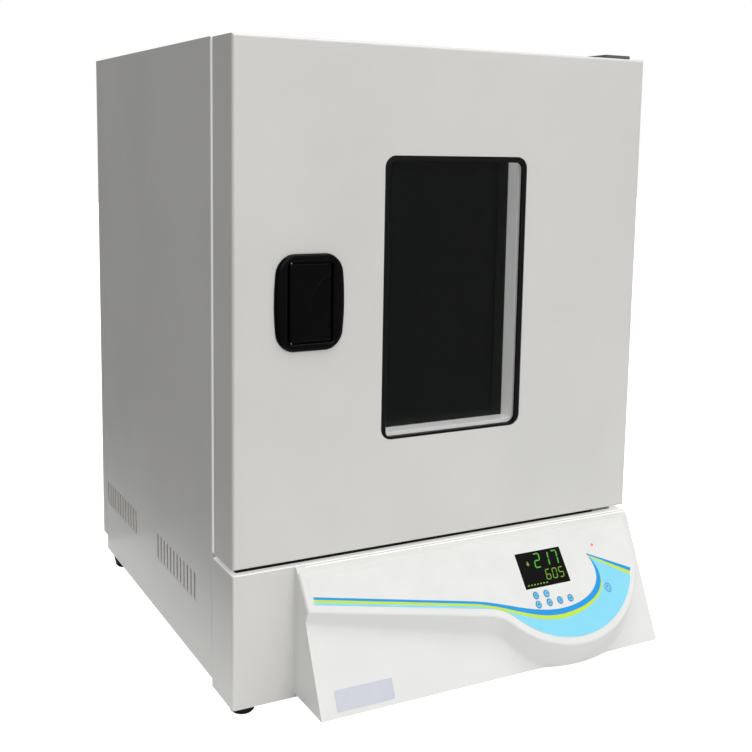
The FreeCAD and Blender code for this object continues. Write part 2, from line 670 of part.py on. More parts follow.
def vent():
    """A tube through the roof with a flange; the cap above it turns to shut its two air holes."""
    foot = CHAMBER_TOP
    tube = rod("vent_radius + vent_wall", f"cabinet_top + 2 - ({foot})", (0, "vent_back", foot))
    flange = rod("cap_radius + 3", 2, (0, "vent_back", "cabinet_top"))
    bore = rod("vent_radius", f"cabinet_top - ({foot}) + 1", (0, "vent_back", f"{foot} - 1"))
    holes = [
        rod("vent_hole", 20, (f"{side} * vent_hole_offset", "vent_back", "cabinet_top - 10"))
        for side in (-1, 1)
    ]
    socket = rod("cap_stem_radius + cap_stem_clearance", 10, (0, "vent_back", "cabinet_top - 4"))
    node("vent_tube", cut(fuse(tube, flange), bore, *holes, socket))
    base = "cabinet_top + 2.3"
    cap = rod("cap_radius", 3, (0, "vent_back", base))
    stem = rod("cap_stem_radius", 8, (0, "vent_back", "cabinet_top - 4"))
    grip = block(("2 * cap_radius - 6", 5, "cap_height - 1"), ("-cap_radius + 3", "vent_back - 2.5", base))
    openings = [
        block((12, 7.2, 20), (-6, f"vent_back + ({y})", "cabinet_top")) for y in (-10.2, 3)
    ]
    node("vent_cap", cut(fuse(cap, grip, stem), *openings))


# Door -------------------------------------------------------------------------------------------

DOOR_LEFT = f"-{HALF}"
WINDOW_X = f"-{HALF} + window_left"
WINDOW_Z = "door_bottom + window_sill"
TUNNEL_WIDTH = "(window_width - 2 * window_seal)"
TUNNEL_HEIGHT = "(window_height - 2 * window_seal)"
CUP_X = f"-{HALF} + handle_left + cup_margin"
CUP_Z = "door_bottom + handle_bottom + cup_margin"
CUP_WIDTH = "(handle_width - 2 * cup_margin)"
CUP_HEIGHT = "(handle_height - 2 * cup_margin)"
FLAP_X = f"-{HALF} + handle_left + (handle_width - flap_width) / 2"
FLAP_Z = "door_bottom + handle_bottom + (handle_height - flap_height) / 2"
PIN_X = f"{FLAP_X} + flap_thickness / 2"
PIN_Y = "door_front - handle_proud + 0.5 + flap_thickness / 2"
MAGNET_X = f"-{HALF} + latch_setback"
MAGNET_Z = "door_bottom + latch_level"


def bush_holes():
    """The two round holes for the hinge bushes, as tools."""
    top_start = "door_bottom + door_height - bush_length"
    top = rod("bush_radius", "bush_length + 5", (HINGE_X, HINGE_Y, top_start))
    bottom = rod("bush_radius", "bush_length + 5", (HINGE_X, HINGE_Y, "door_bottom - 5"))
    return [top, bottom]


def door_skin():
    """A deep pan of painted sheet with the window and the handle cut out."""
    body = doc.addObject("PartDesign::Body", "door_pan")
    place(body, (DOOR_LEFT, "door_front", "door_bottom"))
    face = rectangle(0, 0, "cabinet_width", "door_height")
    pad(body, outline(body, "XZ", face), "door_thickness - gauge", backwards=True)
    round_edges(body, "door_edge_radius", lambda e: abs(e.CenterOfMass.y) < 0.01)
    window = rectangle("window_left", "window_sill", "window_width", "window_height")
    pocket(body, outline(body, "XZ", window), "door_thickness")

    def at_window(edge):
        return along(edge, Y_AXIS) and 20 < edge.CenterOfMass.x < size("cabinet_width") - 20

    round_edges(body, "window_radius", at_window)
    handle = rectangle(
        "handle_left + cup_margin", "handle_bottom + cup_margin", CUP_WIDTH, CUP_HEIGHT
    )
    pocket(body, outline(body, "XZ", handle), "door_thickness")
    hollow = block(
        (INSIDE, "door_thickness", "door_height - 2 * gauge"),
        (f"{DOOR_LEFT} + gauge", "door_front + gauge", "door_bottom + gauge"),
    )
    node("door_skin", cut(body, hollow, *bush_holes()))


def door_inner_panel():
    plate = block(
        (INSIDE, "gauge", "door_height - 2 * gauge"),
        (f"{DOOR_LEFT} + gauge", f"{DOOR_BACK} - gauge", "door_bottom + gauge"),
    )
    window = block(
        (TUNNEL_WIDTH, 10, TUNNEL_HEIGHT),
        (f"{WINDOW_X} + window_seal", f"{DOOR_BACK} - 5", f"{WINDOW_Z} + window_seal"),
    )
    magnet = block(
        ("magnet_width + 2", 10, "magnet_height + 2"),
        (f"{MAGNET_X} - magnet_width / 2 - 1", f"{DOOR_BACK} - 5", f"{MAGNET_Z} - magnet_height / 2 - 1"),
    )
    node("door_inner_panel", cut(plate, window, magnet))


def door_insulation():
    deep = "(door_thickness - 2 * gauge)"
    slab = block(
        (INSIDE, deep, "door_height - 2 * gauge"),
        (f"{DOOR_LEFT} + gauge", "door_front + gauge", "door_bottom + gauge"),
    )
    window = block(
        ("window_width + 14", 80, "window_height + 14"),
        (f"{WINDOW_X} - 7", "door_front - 5", f"{WINDOW_Z} - 7"),
    )
    handle = block(
        (CUP_WIDTH, "cup_depth + 5", CUP_HEIGHT), (CUP_X, "door_front - 5", CUP_Z)
    )
    magnet = block(
        ("magnet_width + 2", "magnet_depth + magnet_travel + 4", "magnet_height + 2"),
        (
            f"{MAGNET_X} - magnet_width / 2 - 1",
            f"{DOOR_BACK} - magnet_depth - magnet_travel - 2",
            f"{MAGNET_Z} - magnet_height / 2 - 1",
        ),
    )
    node("door_insulation", cut(slab, window, handle, magnet, *bush_holes()))


def window_parts():
    outer_front = "door_front + outer_glass_depth"
    outer = block(
        ("window_width - 4", "glass_thickness", "window_height - 4"),
        (f"{WINDOW_X} + 2", outer_front, f"{WINDOW_Z} + 2"),
    )
    node("outer_glass", outer)
    inner = block(
        (TUNNEL_WIDTH, "glass_thickness", TUNNEL_HEIGHT),
        (f"{WINDOW_X} + window_seal", "door_front + inner_glass_depth", f"{WINDOW_Z} + window_seal"),
    )
    node("inner_glass", inner)
    window_gasket(outer_front)
    front = f"{outer_front} + glass_thickness + 1"
    flange_x, flange_z = (f"{WINDOW_X} - 7", f"{WINDOW_Z} - 7")
    flange = block(("window_width + 14", "gauge", "window_height + 14"), (flange_x, front, flange_z))
    length = f"({DOOR_BACK} - gauge) - ({front})"
    sleeve = block(
        (f"{TUNNEL_WIDTH} + 2 * gauge", length, f"{TUNNEL_HEIGHT} + 2 * gauge"),
        (f"{WINDOW_X} + window_seal - gauge", front, f"{WINDOW_Z} + window_seal - gauge"),
    )
    hollow = block(
        (TUNNEL_WIDTH, "door_thickness", TUNNEL_HEIGHT),
        (f"{WINDOW_X} + window_seal", "door_front", f"{WINDOW_Z} + window_seal"),
    )
    node("window_frame", cut(fuse(flange, sleeve), hollow))


def window_gasket(glass_front):
    """A black rubber ring with a groove that holds the outer pane in the cut-out."""
    body = doc.addObject("PartDesign::Body", "gasket_ring")
    place(body, (WINDOW_X, "door_front + 0.4", WINDOW_Z))
    ring = rectangle(0, 0, "window_width", "window_height")
    thick = f"({glass_front} + glass_thickness + 1) - (door_front + 0.4)"
    pad(body, outline(body, "XZ", ring), thick, backwards=True)
    round_edges(body, "window_radius", lambda e: along(e, Y_AXIS))
    sight = rectangle("window_seal", "window_seal", TUNNEL_WIDTH, TUNNEL_HEIGHT)
    pocket(body, outline(body, "XZ", sight), "door_thickness")

    def corner(edge):
        return along(edge, Y_AXIS) and 3 < edge.CenterOfMass.x < size("window_width") - 3

    round_edges(body, "window_radius - window_seal", corner)
    pane = block(
        ("window_width - 4", "glass_thickness", "window_height - 4"),
        (f"{WINDOW_X} + 2", glass_front, f"{WINDOW_Z} + 2"),
    )
    node("window_gasket", cut(body, pane))


def door_gasket():
    """A silicone ring on the door's inner face that meets the front frame all round."""
    inner_wide = "(chamber_width + 2 * seal_margin)"
    inner_tall = "(chamber_height + 2 * seal_margin)"
    low = "chamber_floor - seal_margin"
    ring = block(
        (f"{inner_wide} + 2 * seal_width", "seal_thickness", f"{inner_tall} + 2 * seal_width"),
        (f"-{inner_wide} / 2 - seal_width", DOOR_BACK, f"{low} - seal_width"),
    )
    hollow = block((inner_wide, 20, inner_tall), (f"-{inner_wide} / 2", f"{DOOR_BACK} - 5", low))
    node("door_gasket", cut(ring, hollow))


def handle_bezel():
    """A rounded flange that stands out of the door, with a cup behind it for the fingers."""
    body = doc.addObject("PartDesign::Body", "bezel_cup")
    place(body, (f"-{HALF} + handle_left", "door_front - handle_proud", "door_bottom + handle_bottom"))
    flange = rectangle(0, 0, "handle_width", "handle_height")
    pad(body, outline(body, "XZ", flange), "handle_proud", backwards=True)
    round_edges(body, 14, lambda e: along(e, Y_AXIS))
    round_edges(body, 2.5, lambda e: abs(e.CenterOfMass.y) < 0.01)
    cup = rectangle("cup_margin", "cup_margin", CUP_WIDTH, CUP_HEIGHT)
    pad(body, outline(body, "XZ", cup), "handle_proud + cup_depth", backwards=True)
    well = block(
        (
            "flap_width + 2 * flap_margin",
            "handle_proud + cup_depth - 2",
            "flap_height + 2 * flap_margin",
        ),
        (f"{FLAP_X} - flap_margin", "door_front - handle_proud - 1", f"{FLAP_Z} - flap_margin"),
    )
    pin_start = (PIN_X, PIN_Y, f"{FLAP_Z} - flap_margin - 2")
    pin = rod("flap_pin_radius", "flap_height + 2 * flap_margin + 4", pin_start)
    node("handle_bezel", cut(body, well, pin))


def handle_flap():
    """The pull flap, hinged on its left edge, with a half-round scoop for the fingers on its right."""
    front = "door_front - handle_proud + 0.5"
    plate = block(("flap_width", "flap_thickness", "flap_height"), (FLAP_X, front, FLAP_Z))
    scoop = doc.addObject("Part::Cylinder", "scoop")
    scoop.Radius = size("scoop_height") / 2
    bind(scoop, "Radius", "scoop_height / 2")
    scoop.Height = 20
    middle = f"{FLAP_X} + flap_width - scoop_width + scoop_height / 2"
    scoop.Placement = FreeCAD.Placement(FreeCAD.Vector(), POINTING["y"])
    place(scoop, (middle, f"{front} - 5", f"{FLAP_Z} + flap_height / 2"))
    bore = rod(
        "flap_pin_radius + flap_pin_clearance", "flap_height + 10", (PIN_X, PIN_Y, f"{FLAP_Z} - 5")
    )
    node("handle_flap", cut(plate, scoop, bore))
    pin_start = (PIN_X, PIN_Y, f"{FLAP_Z} - flap_margin - 2")
    pin = rod("flap_pin_radius", "flap_height + 2 * flap_margin + 4", pin_start)
    node("flap_pin", pin)


def latch():
    magnet = block(
        ("magnet_width", "magnet_depth", "magnet_height"),
        (
            f"{MAGNET_X} - magnet_width / 2",
            f"{DOOR_BACK} - magnet_depth",
            f"{MAGNET_Z} - magnet_height / 2",
        ),
    )
    node("latch_magnet", magnet)
    keeper = block(
        (20, "door_gap - 0.5", 50), (f"{MAGNET_X} - 10", f"{DOOR_BACK} + 0.5", f"{MAGNET_Z} - 25")
    )
    node("strike_plate", keeper)


def hinges():
    """Bracket plates with pins above and below the door, and the bushes that turn on them."""
    top_under = "cabinet_top"
    low_under = "plinth_top"
    plates = {}
    for name, under, deep in (("top", top_under, 100), ("bottom", low_under, 50)):
        plate = block((38, deep - 10, "hinge_plate"), (f"{HINGE_X} - 28", HINGE_Y, under))
        tip = rod(10, "hinge_plate", (HINGE_X, HINGE_Y, under))
        nose = block((28, 10, "hinge_plate"), (f"{HINGE_X} - 28", f"{HINGE_Y} - 10", under))
        plates[name] = [plate, tip, nose]
    door_top = "door_bottom + door_height"
    low_top = f"{low_under} + hinge_plate"
    pin_start = (HINGE_X, HINGE_Y, f"{door_top} - 18")
    upper_pin = rod("hinge_pin_radius", f"{top_under} - ({door_top}) + 18", pin_start)
    lower_pin = rod("hinge_pin_radius", f"door_bottom - ({low_top}) + 18", (HINGE_X, HINGE_Y, low_top))
    node("top_hinge_bracket", fuse(*plates["top"], upper_pin))
    node("bottom_hinge_bracket", fuse(*plates["bottom"], lower_pin))
    bore = "hinge_pin_radius + hinge_clearance"
    upper = rod("bush_radius", "bush_length", (HINGE_X, HINGE_Y, f"{door_top} - bush_length"))
    lower = rod("bush_radius", "bush_length", (HINGE_X, HINGE_Y, "door_bottom"))
    collar = rod(9.5, f"door_bottom - ({low_top}) - 0.3", (HINGE_X, HINGE_Y, f"{low_top} + 0.3"))
    through = rod(bore, "door_height + 20", (HINGE_X, HINGE_Y, "door_bottom - 10"))
    again = rod(bore, "door_height + 20", (HINGE_X, HINGE_Y, "door_bottom - 10"))
    node("hinge_bushes", group(cut(upper, through), cut(fuse(lower, collar), again)))
    node("hinge_screws", group(*hinge_screws()))


def hinge_screws():
    heads = []
    for x in (-20, 2):
        for y in (58, 80):
            head = (f"{HINGE_X} + ({x})", f"{HINGE_Y} + {y}", "cabinet_top + hinge_plate")
            heads.append(cone(4.5, 3.4, 1.6, head))
        lower = (f"{HINGE_X} + ({x})", f"{HINGE_Y} + 30", "plinth_top + hinge_plate")
        heads.append(cone(4.2, 3.2, 1.4, lower))
    return heads


# Control housing --------------------------------------------------------------------------------


def tilted(degrees, out, level):
    """A placement whose XY plane leans back by that many degrees from vertical, facing the user."""
    origin = FreeCAD.Vector(0, size("door_front") - out, level)
    return FreeCAD.Placement(origin, FreeCAD.Rotation(X_AXIS, 90 - degrees))


def control_plane():
    return tilted(size("control_tilt"), size("control_out"), size("control_level"))


def wedge_plane():
    return tilted(size("wedge_tilt"), 6, 144)


def control_outline(inset, top):
    """The control face's closed outline, drawn in from its rim: x across, y up the slope."""
    vector = FreeCAD.Vector
    slope = math.radians(size("slab_slope"))
    run = vector(math.cos(slope), -math.sin(slope), 0)
    outward = vector(-math.sin(slope), -math.cos(slope), 0)
    corner = vector(size("panel_left"), -size("slab_left_drop"), 0)
    disc = vector(size("disc_x"), -size("disc_drop"), 0)
    radius, shoulder = (size("disc_radius"), size("shoulder_radius"))
    # middle of the concave shoulder: its radius from the straight edge, and tangent to the disc
    offset = corner + outward * shoulder - disc
    half = run.dot(offset)
    reach = -half - math.sqrt(half**2 - offset.dot(offset) + (radius + shoulder) ** 2)
    hub = corner + outward * shoulder + run * reach
    to_disc = (disc - hub).normalize()
    edge_end = hub - outward * (shoulder + inset)
    bend_end = hub + to_disc * (shoulder + inset)
    bend_middle = hub + (to_disc - outward).normalize() * (shoulder + inset)
    left = size("panel_left") + inset
    edge_start = edge_end + run * ((left - edge_end.x) / run.x)
    right = disc + vector(radius - inset, 0, 0)
    low_angle = math.atan2(bend_end.y - disc.y, bend_end.x - disc.x) / 2
    disc_middle = disc + vector(math.cos(low_angle), math.sin(low_angle), 0) * (radius - inset)
    edges = [
        Part.makeLine(vector(left, top, 0), edge_start),
        Part.makeLine(edge_start, edge_end),
        Part.Arc(edge_end, bend_middle, bend_end).toShape(),
        Part.Arc(bend_end, disc_middle, right).toShape(),
        Part.makeLine(right, vector(right.x, top, 0)),
        Part.makeLine(vector(right.x, top, 0), vector(left, top, 0)),
    ]
    return Part.Wire(edges)


def on_face(shape, plane, height=0):
    moved = shape.copy()
    moved.Placement = plane.multiply(FreeCAD.Placement(FreeCAD.Vector(0, 0, height), FreeCAD.Rotation()))
    return moved


def oval(width, height, centre, low, high):
    """An upright oval prism on the control face; centre is (X, distance down the slope)."""
    middle = FreeCAD.Vector(centre[0], -centre[1], low)
    ellipse = Part.Ellipse(
        middle + FreeCAD.Vector(0, height / 2, 0), middle + FreeCAD.Vector(width / 2, 0, 0), middle
    )
    return Part.Face(Part.Wire(ellipse.toShape())).extrude(FreeCAD.Vector(0, 0, high - low))


def face_holes(low, high):
    """Tools for the display, lamp and key openings, between two heights over the control face."""
    gap = size("key_gap")
    display = Part.makeBox(
        size("display_width"),
        size("display_height"),
        high - low,
        FreeCAD.Vector(size("display_x"), -size("display_drop"), low),
    )
    lamp_at = FreeCAD.Vector(STATUS_LAMP[0], -STATUS_LAMP[1], low)
    tools = [display, Part.makeCylinder(size("lamp_radius"), high - low, lamp_at)]
    small = (size("key_width") + 2 * gap, size("key_height") + 2 * gap)
    power = (size("power_key_width") + 2 * gap, size("power_key_height") + 2 * gap)
    tools += [oval(*small, centre, low, high) for centre in SMALL_KEYS.values()]
    tools.append(oval(*power, POWER_KEY, low, high))
    return tools


def feature(name, shape, placement=None):
    made = doc.addObject("Part::Feature", name)
    made.Shape = shape
    if placement:
        made.Placement = placement
    return node(name, made)


def prism(points, left, right):
    """A prism along X over a closed outline in the YZ plane."""
    corners = [FreeCAD.Vector(left, y, z) for y, z in points]
    face = Part.Face(Part.makePolygon(corners + corners[:1]))
    return face.extrude(FreeCAD.Vector(right - left, 0, 0))


def wedge_y(level, inward=0):
    """Y of the housing's lower front face at a level, moved in by a wall thickness."""
    tilt = math.radians(size("wedge_tilt"))
    return size("door_front") - 6 - (144 - level) * math.tan(tilt) + inward / math.cos(tilt)


def control_housing():
    """A moulded wedge with a raised control slab that sweeps down and back into it."""
    back, low, top = (size("door_front"), size("panel_bottom"), size("plinth_top"))
    left, right, wall = (size("panel_left"), size("panel_right"), size("housing_wall"))
    deep, wide = (low - 60, right + 40)  # made over-long, blended, then trimmed
    wedge = prism(
        [(back, deep), (wedge_y(deep), deep), (wedge_y(top - 3), top - 3), (back - 3, top), (back, top)], left, wide
    )
    sweep = math.radians(size("slab_sweep"))
    down = FreeCAD.Vector(0, math.sin(sweep), -math.cos(sweep))
    plane = control_plane()
    face = on_face(Part.Face(control_outline(0, size("slab_top"))), plane)
    slab = face.extrude(down * 220)
    normal = plane.Rotation.multVec(Z_AXIS)
    on_top = [e for e in slab.Edges if all(abs((v.Point - plane.Base).dot(normal)) < 1e-4 for v in e.Vertexes)]
    slab = slab.makeFillet(size("rim_rounding"), on_top)
    limit = Part.makeBox(wide - left, 200, top - deep, FreeCAD.Vector(left, back - 200, deep))
    shell = wedge.fuse(slab.common(limit)).removeSplitter()
    shell = shell.makeFillet(size("slab_blend"), blend_edges(shell, deep, left, wide))
    shell = shell.common(Part.makeBox(right - left, 200, top - low, FreeCAD.Vector(left, back - 200, low)))
    hollow = prism(
        [
            (back + 1, low + wall),
            (wedge_y(low + wall, wall), low + wall),
            (wedge_y(top - 2 * wall, wall), top - 2 * wall),
            (back + 1, top - 2 * wall),
        ],
        left + wall,
        right - wall,
    )
    inner = on_face(Part.Face(control_outline(wall + 0.5, -2 * wall)), plane, -wall).extrude(down * 150)
    inner_limit = Part.makeBox(
        right - left - 2 * wall, 200, top - low - 2 * wall, FreeCAD.Vector(left + wall, back - 199, low + wall)
    )
    tools = [hollow, inner.common(inner_limit)]
    tools += [on_face(tool, plane) for tool in face_holes(-2 * wall, wall)]
    feature("control_housing", shell.cut(tools).removeSplitter())


def blend_edges(shell, deep, left, wide):
    """The edges where the slab's side meets the lower front face, up to the disc's widest point."""
    tilt = math.radians(size("wedge_tilt"))
    normal = FreeCAD.Vector(0, -math.cos(tilt), math.sin(tilt))
    start = FreeCAD.Vector(0, wedge_y(deep), deep)
    widest = size("disc_x") + size("disc_radius")
    found = []
    for edge in shell.Edges:
        first, last = edge.ParameterRange
        points = [edge.valueAt(first + (last - first) * k / 4) for k in range(5)]
        middle = points[2]
        flat = all(abs((p - start).dot(normal)) < 1e-3 for p in points)
        if flat and deep + 1 < middle.z < 118 and left + 1 < middle.x < widest - 5:
            found.append(edge)
    return found


def overlay():
    face = Part.Face(control_outline(size("overlay_inset"), size("overlay_top")))
    sheet = face.extrude(FreeCAD.Vector(0, 0, size("overlay_thickness")))
    feature("control_overlay", sheet.cut(face_holes(-1, 2)), control_plane())


def display():
    corner = FreeCAD.Vector(size("display_x"), -size("display_drop"), 0)
    wide, tall = (size("display_width"), size("display_height"))
    pane = Part.makeBox(wide, tall, 2.0, corner + FreeCAD.Vector(0, 0, -1.6))
    feature("display_window", pane, control_plane())
    case = Part.makeBox(wide - 2, tall - 2, 6, corner + FreeCAD.Vector(1, 1, -8))
    feature("display_module", case, control_plane())
    lamp = Part.makeCylinder(size("lamp_radius"), 6, FreeCAD.Vector(STATUS_LAMP[0], -STATUS_LAMP[1], -5))
    feature("status_lamp", lamp, control_plane())


def keys():
    low, high = (-size("key_stem"), size("key_proud"))
    for name, centre in SMALL_KEYS.items():
        feature(name, oval(size("key_width"), size("key_height"), centre, low, high), control_plane())
    power = oval(size("power_key_width"), size("power_key_height"), POWER_KEY, low, high)
    feature("key_power", power, control_plane())


def boards():
    board = Part.makeBox(140, 76, 1.6, FreeCAD.Vector(62, -96, -14))
    chips = [Part.makeBox(14, 14, 2, FreeCAD.Vector(x, -90, -16)) for x in (90, 150)]
    feature("control_board", board.fuse(chips), control_plane())
    floor = "cabinet_bottom + gauge"
    plate = block((170, 130, 2), (-60, -40, f"{floor} + 8"))
    posts = [rod(3, 8, (x, y, floor)) for x in (-52, 102) for y in (-32, 82)]
    core = block((58, 50, 48), (-50, 20, f"{floor} + 10"))
    relay = block((46, 60, 24), (40, 10, f"{floor} + 10"))
    caps = [rod(9, 28, (x, -20, f"{floor} + 10")) for x in (-30, 0, 30)]
    node("power_board", fuse(plate, *posts, core, relay, *caps))


def mains_inlet():
    """A three-blade appliance inlet with a flange on the rear cover."""
    outer = f"{CABINET_BACK} + rear_cover_depth"
    flange = block((50, 1.5, 24), ("inlet_x - 25", outer, "inlet_level - 12"))
    case = block((28, 24, 20), ("inlet_x - 14", f"{outer} - 24", "inlet_level - 10"))
    well = block((24.4, 20, 16.4), ("inlet_x - 12.2", f"{outer} - 18", "inlet_level - 8.2"))
    blades = [
        block((2, 12, 4.5), (f"inlet_x + ({x}) - 1", f"{outer} - 18", f"inlet_level + ({z}) - 2.25"))
        for x, z in ((-7, -1.5), (0, 1.5), (7, -1.5))
    ]
    node("mains_inlet", fuse(cut(fuse(flange, case), well), *blades))


def nameplate():
    plate = doc.addObject("Part::Box", "plate")
    bind(plate, "Length", "nameplate_width")
    bind(plate, "Width", "nameplate_height")
    plate.Height = 0.5
    x, down = NAMEPLATE_CORNER
    plane = wedge_plane()
    corner = plane.multVec(FreeCAD.Vector(x, -down - size("nameplate_height") / 2, 0))
    plate.Placement = FreeCAD.Placement(corner, plane.Rotation)
    node("nameplate", plate)


def feet():
    made = []
    for side in (-1, 1):
        for back in ("front_foot", "rear_foot"):
            at = (f"{side} * ({HALF} - foot_inset - gauge)", f"door_front + {back}")
            edge = cone("foot_tip_radius - 2", "foot_tip_radius", 2, (*at, 0))
            pad_part = cone("foot_tip_radius", "foot_radius", "cabinet_bottom - 2", (*at, 2))
            made.append(fuse(edge, pad_part))
    node("rubber_feet", group(*made))


def cover_screws():
    heads = []
    for side in (-1, 1):
        for level in (60, 340, 630):
            head = rod(3.6, 1.5, (f"{side} * ({HALF} - 12)", f"{CABINET_BACK} + rear_cover_depth", level), "y")
            heads.append(head)
    node("cover_screws", group(*heads))


side_panel("side_panel_left", -1)
side_panel("side_panel_right", 1)
top_panel()
rear_cover()
base_pan()
lower_front_panel()
front_frame()
divider_panel()
rear_bulkhead()
chamber_liner()
insulation()
shelf_rack("shelf_rack_left", -1)
shelf_rack("shelf_rack_right", 1)
for shelf_name, runner_number in SHELF_LEVELS.items():
    wire_shelf(shelf_name, runner_number)
air_baffle()
heater_element()
fan()
fan_motor()
temperature_probe()
vent()
door_skin()
door_inner_panel()
door_insulation()
window_parts()
door_gasket()
handle_bezel()
handle_flap()
latch()
hinges()
control_housing()
overlay()
display()
keys()
boards()
mains_inlet()
nameplate()
feet()
cover_screws()

doc.recompute()
for made in doc.Objects:
    if {"Invalid", "Error"} & set(made.State):
        raise ValueError(f"{made.Label} was not made: {made.State}")
for name, made in nodes.items():
    if made.Shape.isNull() or not made.Shape.isValid():
        raise ValueError(f"{name} has no valid shape")

os.makedirs("parts", exist_ok=True)
for name, made in nodes.items():
    made.Shape.exportStep(f"parts/{name}.step")
whole = FreeCAD.BoundBox()
for made in nodes.values():
    whole.add(made.Shape.BoundBox)
print(f"{len(nodes)} nodes, box {whole}")
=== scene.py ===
import math

import bmesh
import bpy
from mathutils import Matrix, Vector


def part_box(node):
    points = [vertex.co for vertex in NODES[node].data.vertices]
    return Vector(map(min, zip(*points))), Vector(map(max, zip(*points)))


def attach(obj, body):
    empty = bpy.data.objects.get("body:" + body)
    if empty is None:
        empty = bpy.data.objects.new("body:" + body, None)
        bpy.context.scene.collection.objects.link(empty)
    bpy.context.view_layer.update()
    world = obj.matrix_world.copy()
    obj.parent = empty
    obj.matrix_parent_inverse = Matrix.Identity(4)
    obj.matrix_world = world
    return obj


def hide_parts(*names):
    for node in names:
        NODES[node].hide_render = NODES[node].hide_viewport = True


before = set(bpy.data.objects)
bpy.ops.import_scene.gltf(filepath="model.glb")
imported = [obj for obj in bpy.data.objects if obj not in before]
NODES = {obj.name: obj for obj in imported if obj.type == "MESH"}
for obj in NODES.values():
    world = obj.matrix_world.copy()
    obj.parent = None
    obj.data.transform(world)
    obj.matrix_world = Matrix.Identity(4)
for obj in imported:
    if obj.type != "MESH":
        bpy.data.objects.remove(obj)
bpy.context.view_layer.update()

MM = 0.001


# ---------------------------------------------------------------- finishes

def linear(colour):
    """Scene-linear values of a display colour given as 0-255 numbers."""
    return [c / 255 / 12.92 if c <= 10 else ((c / 255 + 0.055) / 1.055) ** 2.4 for c in colour]


def finish(name, colour, roughness, metallic=0.0, **sockets):
    material = bpy.data.materials.new(name)
    material.use_nodes = True
    shader = material.node_tree.nodes["Principled BSDF"]
    shader.inputs["Base Color"].default_value = (*linear(colour), 1)
    shader.inputs["Roughness"].default_value = roughness
    shader.inputs["Metallic"].default_value = metallic
    for socket, value in sockets.items():
        shader.inputs[socket.replace("_", " ")].default_value = value
    return material


def lit(material, colour, strength):
    """Gives a finish a glow of its own; the colour is scene-linear."""
    shader = material.node_tree.nodes["Principled BSDF"]
    shader.inputs["Emission Color"].default_value = (*colour, 1)
    shader.inputs["Emission Strength"].default_value = strength


def add(material, kind, **values):
    made = material.node_tree.nodes.new(kind)
    for key, value in values.items():
        setattr(made, key, value)
    return made


def noise(material, scale, stretch=(1, 1, 1), detail=3.0):
    """A noise texture in object space; scale is in features per metre."""
    link = material.node_tree.links.new
    place = add(material, "ShaderNodeTexCoord")
    mapping = add(material, "ShaderNodeMapping")
    mapping.inputs["Scale"].default_value = stretch
    texture = add(material, "ShaderNodeTexNoise")
    texture.inputs["Scale"].default_value = scale
    texture.inputs["Detail"].default_value = detail
    link(place.outputs["Object"], mapping.inputs["Vector"])
    link(mapping.outputs["Vector"], texture.inputs["Vector"])
    return texture.outputs["Fac"]


def bump(material, height, strength, distance):
    link = material.node_tree.links.new
    made = add(material, "ShaderNodeBump")
    made.inputs["Strength"].default_value = strength
    made.inputs["Distance"].default_value = distance
    link(height, made.inputs["Height"])
    link(made.outputs["Normal"], material.node_tree.nodes["Principled BSDF"].inputs["Normal"])


def vary_roughness(material, factor, low, high):
    made = add(material, "ShaderNodeMapRange")
    made.inputs["To Min"].default_value = low
    made.inputs["To Max"].default_value = high
    link = material.node_tree.links.new
    link(factor, made.inputs["Value"])
    link(made.outputs["Result"], material.node_tree.nodes["Principled BSDF"].inputs["Roughness"])


def vary_colour(material, factor, first, second, low=0.3, high=0.7):
    ramp = add(material, "ShaderNodeValToRGB")
    ramp.color_ramp.elements[0].position = low
    ramp.color_ramp.elements[1].position = high
    ramp.color_ramp.elements[0].color = (*linear(first), 1)
    ramp.color_ramp.elements[1].color = (*linear(second), 1)
    link = material.node_tree.links.new
    link(factor, ramp.inputs["Fac"])
    link(ramp.outputs["Color"], material.node_tree.nodes["Principled BSDF"].inputs["Base Color"])


def shade(colour, amount):
    return tuple(min(255, max(0, c + amount)) for c in colour)


def powder_coat(name, colour, grain=0.35):
    """Baked paint with a fine texture, a little uneven in colour and gloss."""
    made = finish(name, colour, 0.4, Coat_Weight=0.5, Coat_Roughness=0.22)
    bump(made, noise(made, 900, detail=2), grain, 0.00012)
    vary_roughness(made, noise(made, 60), 0.34, 0.46)
    vary_colour(made, noise(made, 7), shade(colour, -3), shade(colour, 3))
    return made


def moulded(name, colour, roughness=0.42, grain=0.2, gloss=0.5):
    """Injection-moulded plastic with a spark-eroded grain."""
    made = finish(name, colour, roughness, Specular_IOR_Level=gloss)
    bump(made, noise(made, 1600, detail=2), grain, 0.00006)
    vary_roughness(made, noise(made, 90), roughness - 0.05, roughness + 0.06)
    vary_colour(made, noise(made, 11), shade(colour, -2), shade(colour, 2))
    return made


def brushed(name, colour, roughness, along=(1, 1, 60)):
    """Metal with fine brushing lines across the stretched axis."""
    made = finish(name, colour, roughness, 1.0)
    lines = noise(made, 30, along, 5)
    bump(made, lines, 0.25, 0.00003)
    vary_roughness(made, lines, roughness - 0.08, roughness + 0.1)
    vary_colour(made, noise(made, 12), shade(colour, -8), shade(colour, 6))
    return made


def film(name, colour, roughness=0.3):
    """Printed polyester film: smooth, with the faint unevenness of screen printing."""
    made = finish(name, colour, roughness)
    bump(made, noise(made, 700, detail=1), 0.12, 0.00003)
    vary_colour(made, noise(made, 40), shade(colour, -2), shade(colour, 2))
    return made


def galvanised(name):
    made = finish(name, (170, 174, 176), 0.4, 1.0)
    link = made.node_tree.links.new
    place = add(made, "ShaderNodeTexCoord")
    cells = add(made, "ShaderNodeTexVoronoi")
    cells.inputs["Scale"].default_value = 90
    link(place.outputs["Object"], cells.inputs["Vector"])
    vary_roughness(made, cells.outputs["Distance"], 0.32, 0.55)
    vary_colour(made, cells.outputs["Color"], (150, 155, 158), (184, 188, 190))
    bump(made, cells.outputs["Distance"], 0.1, 0.00005)
    return made


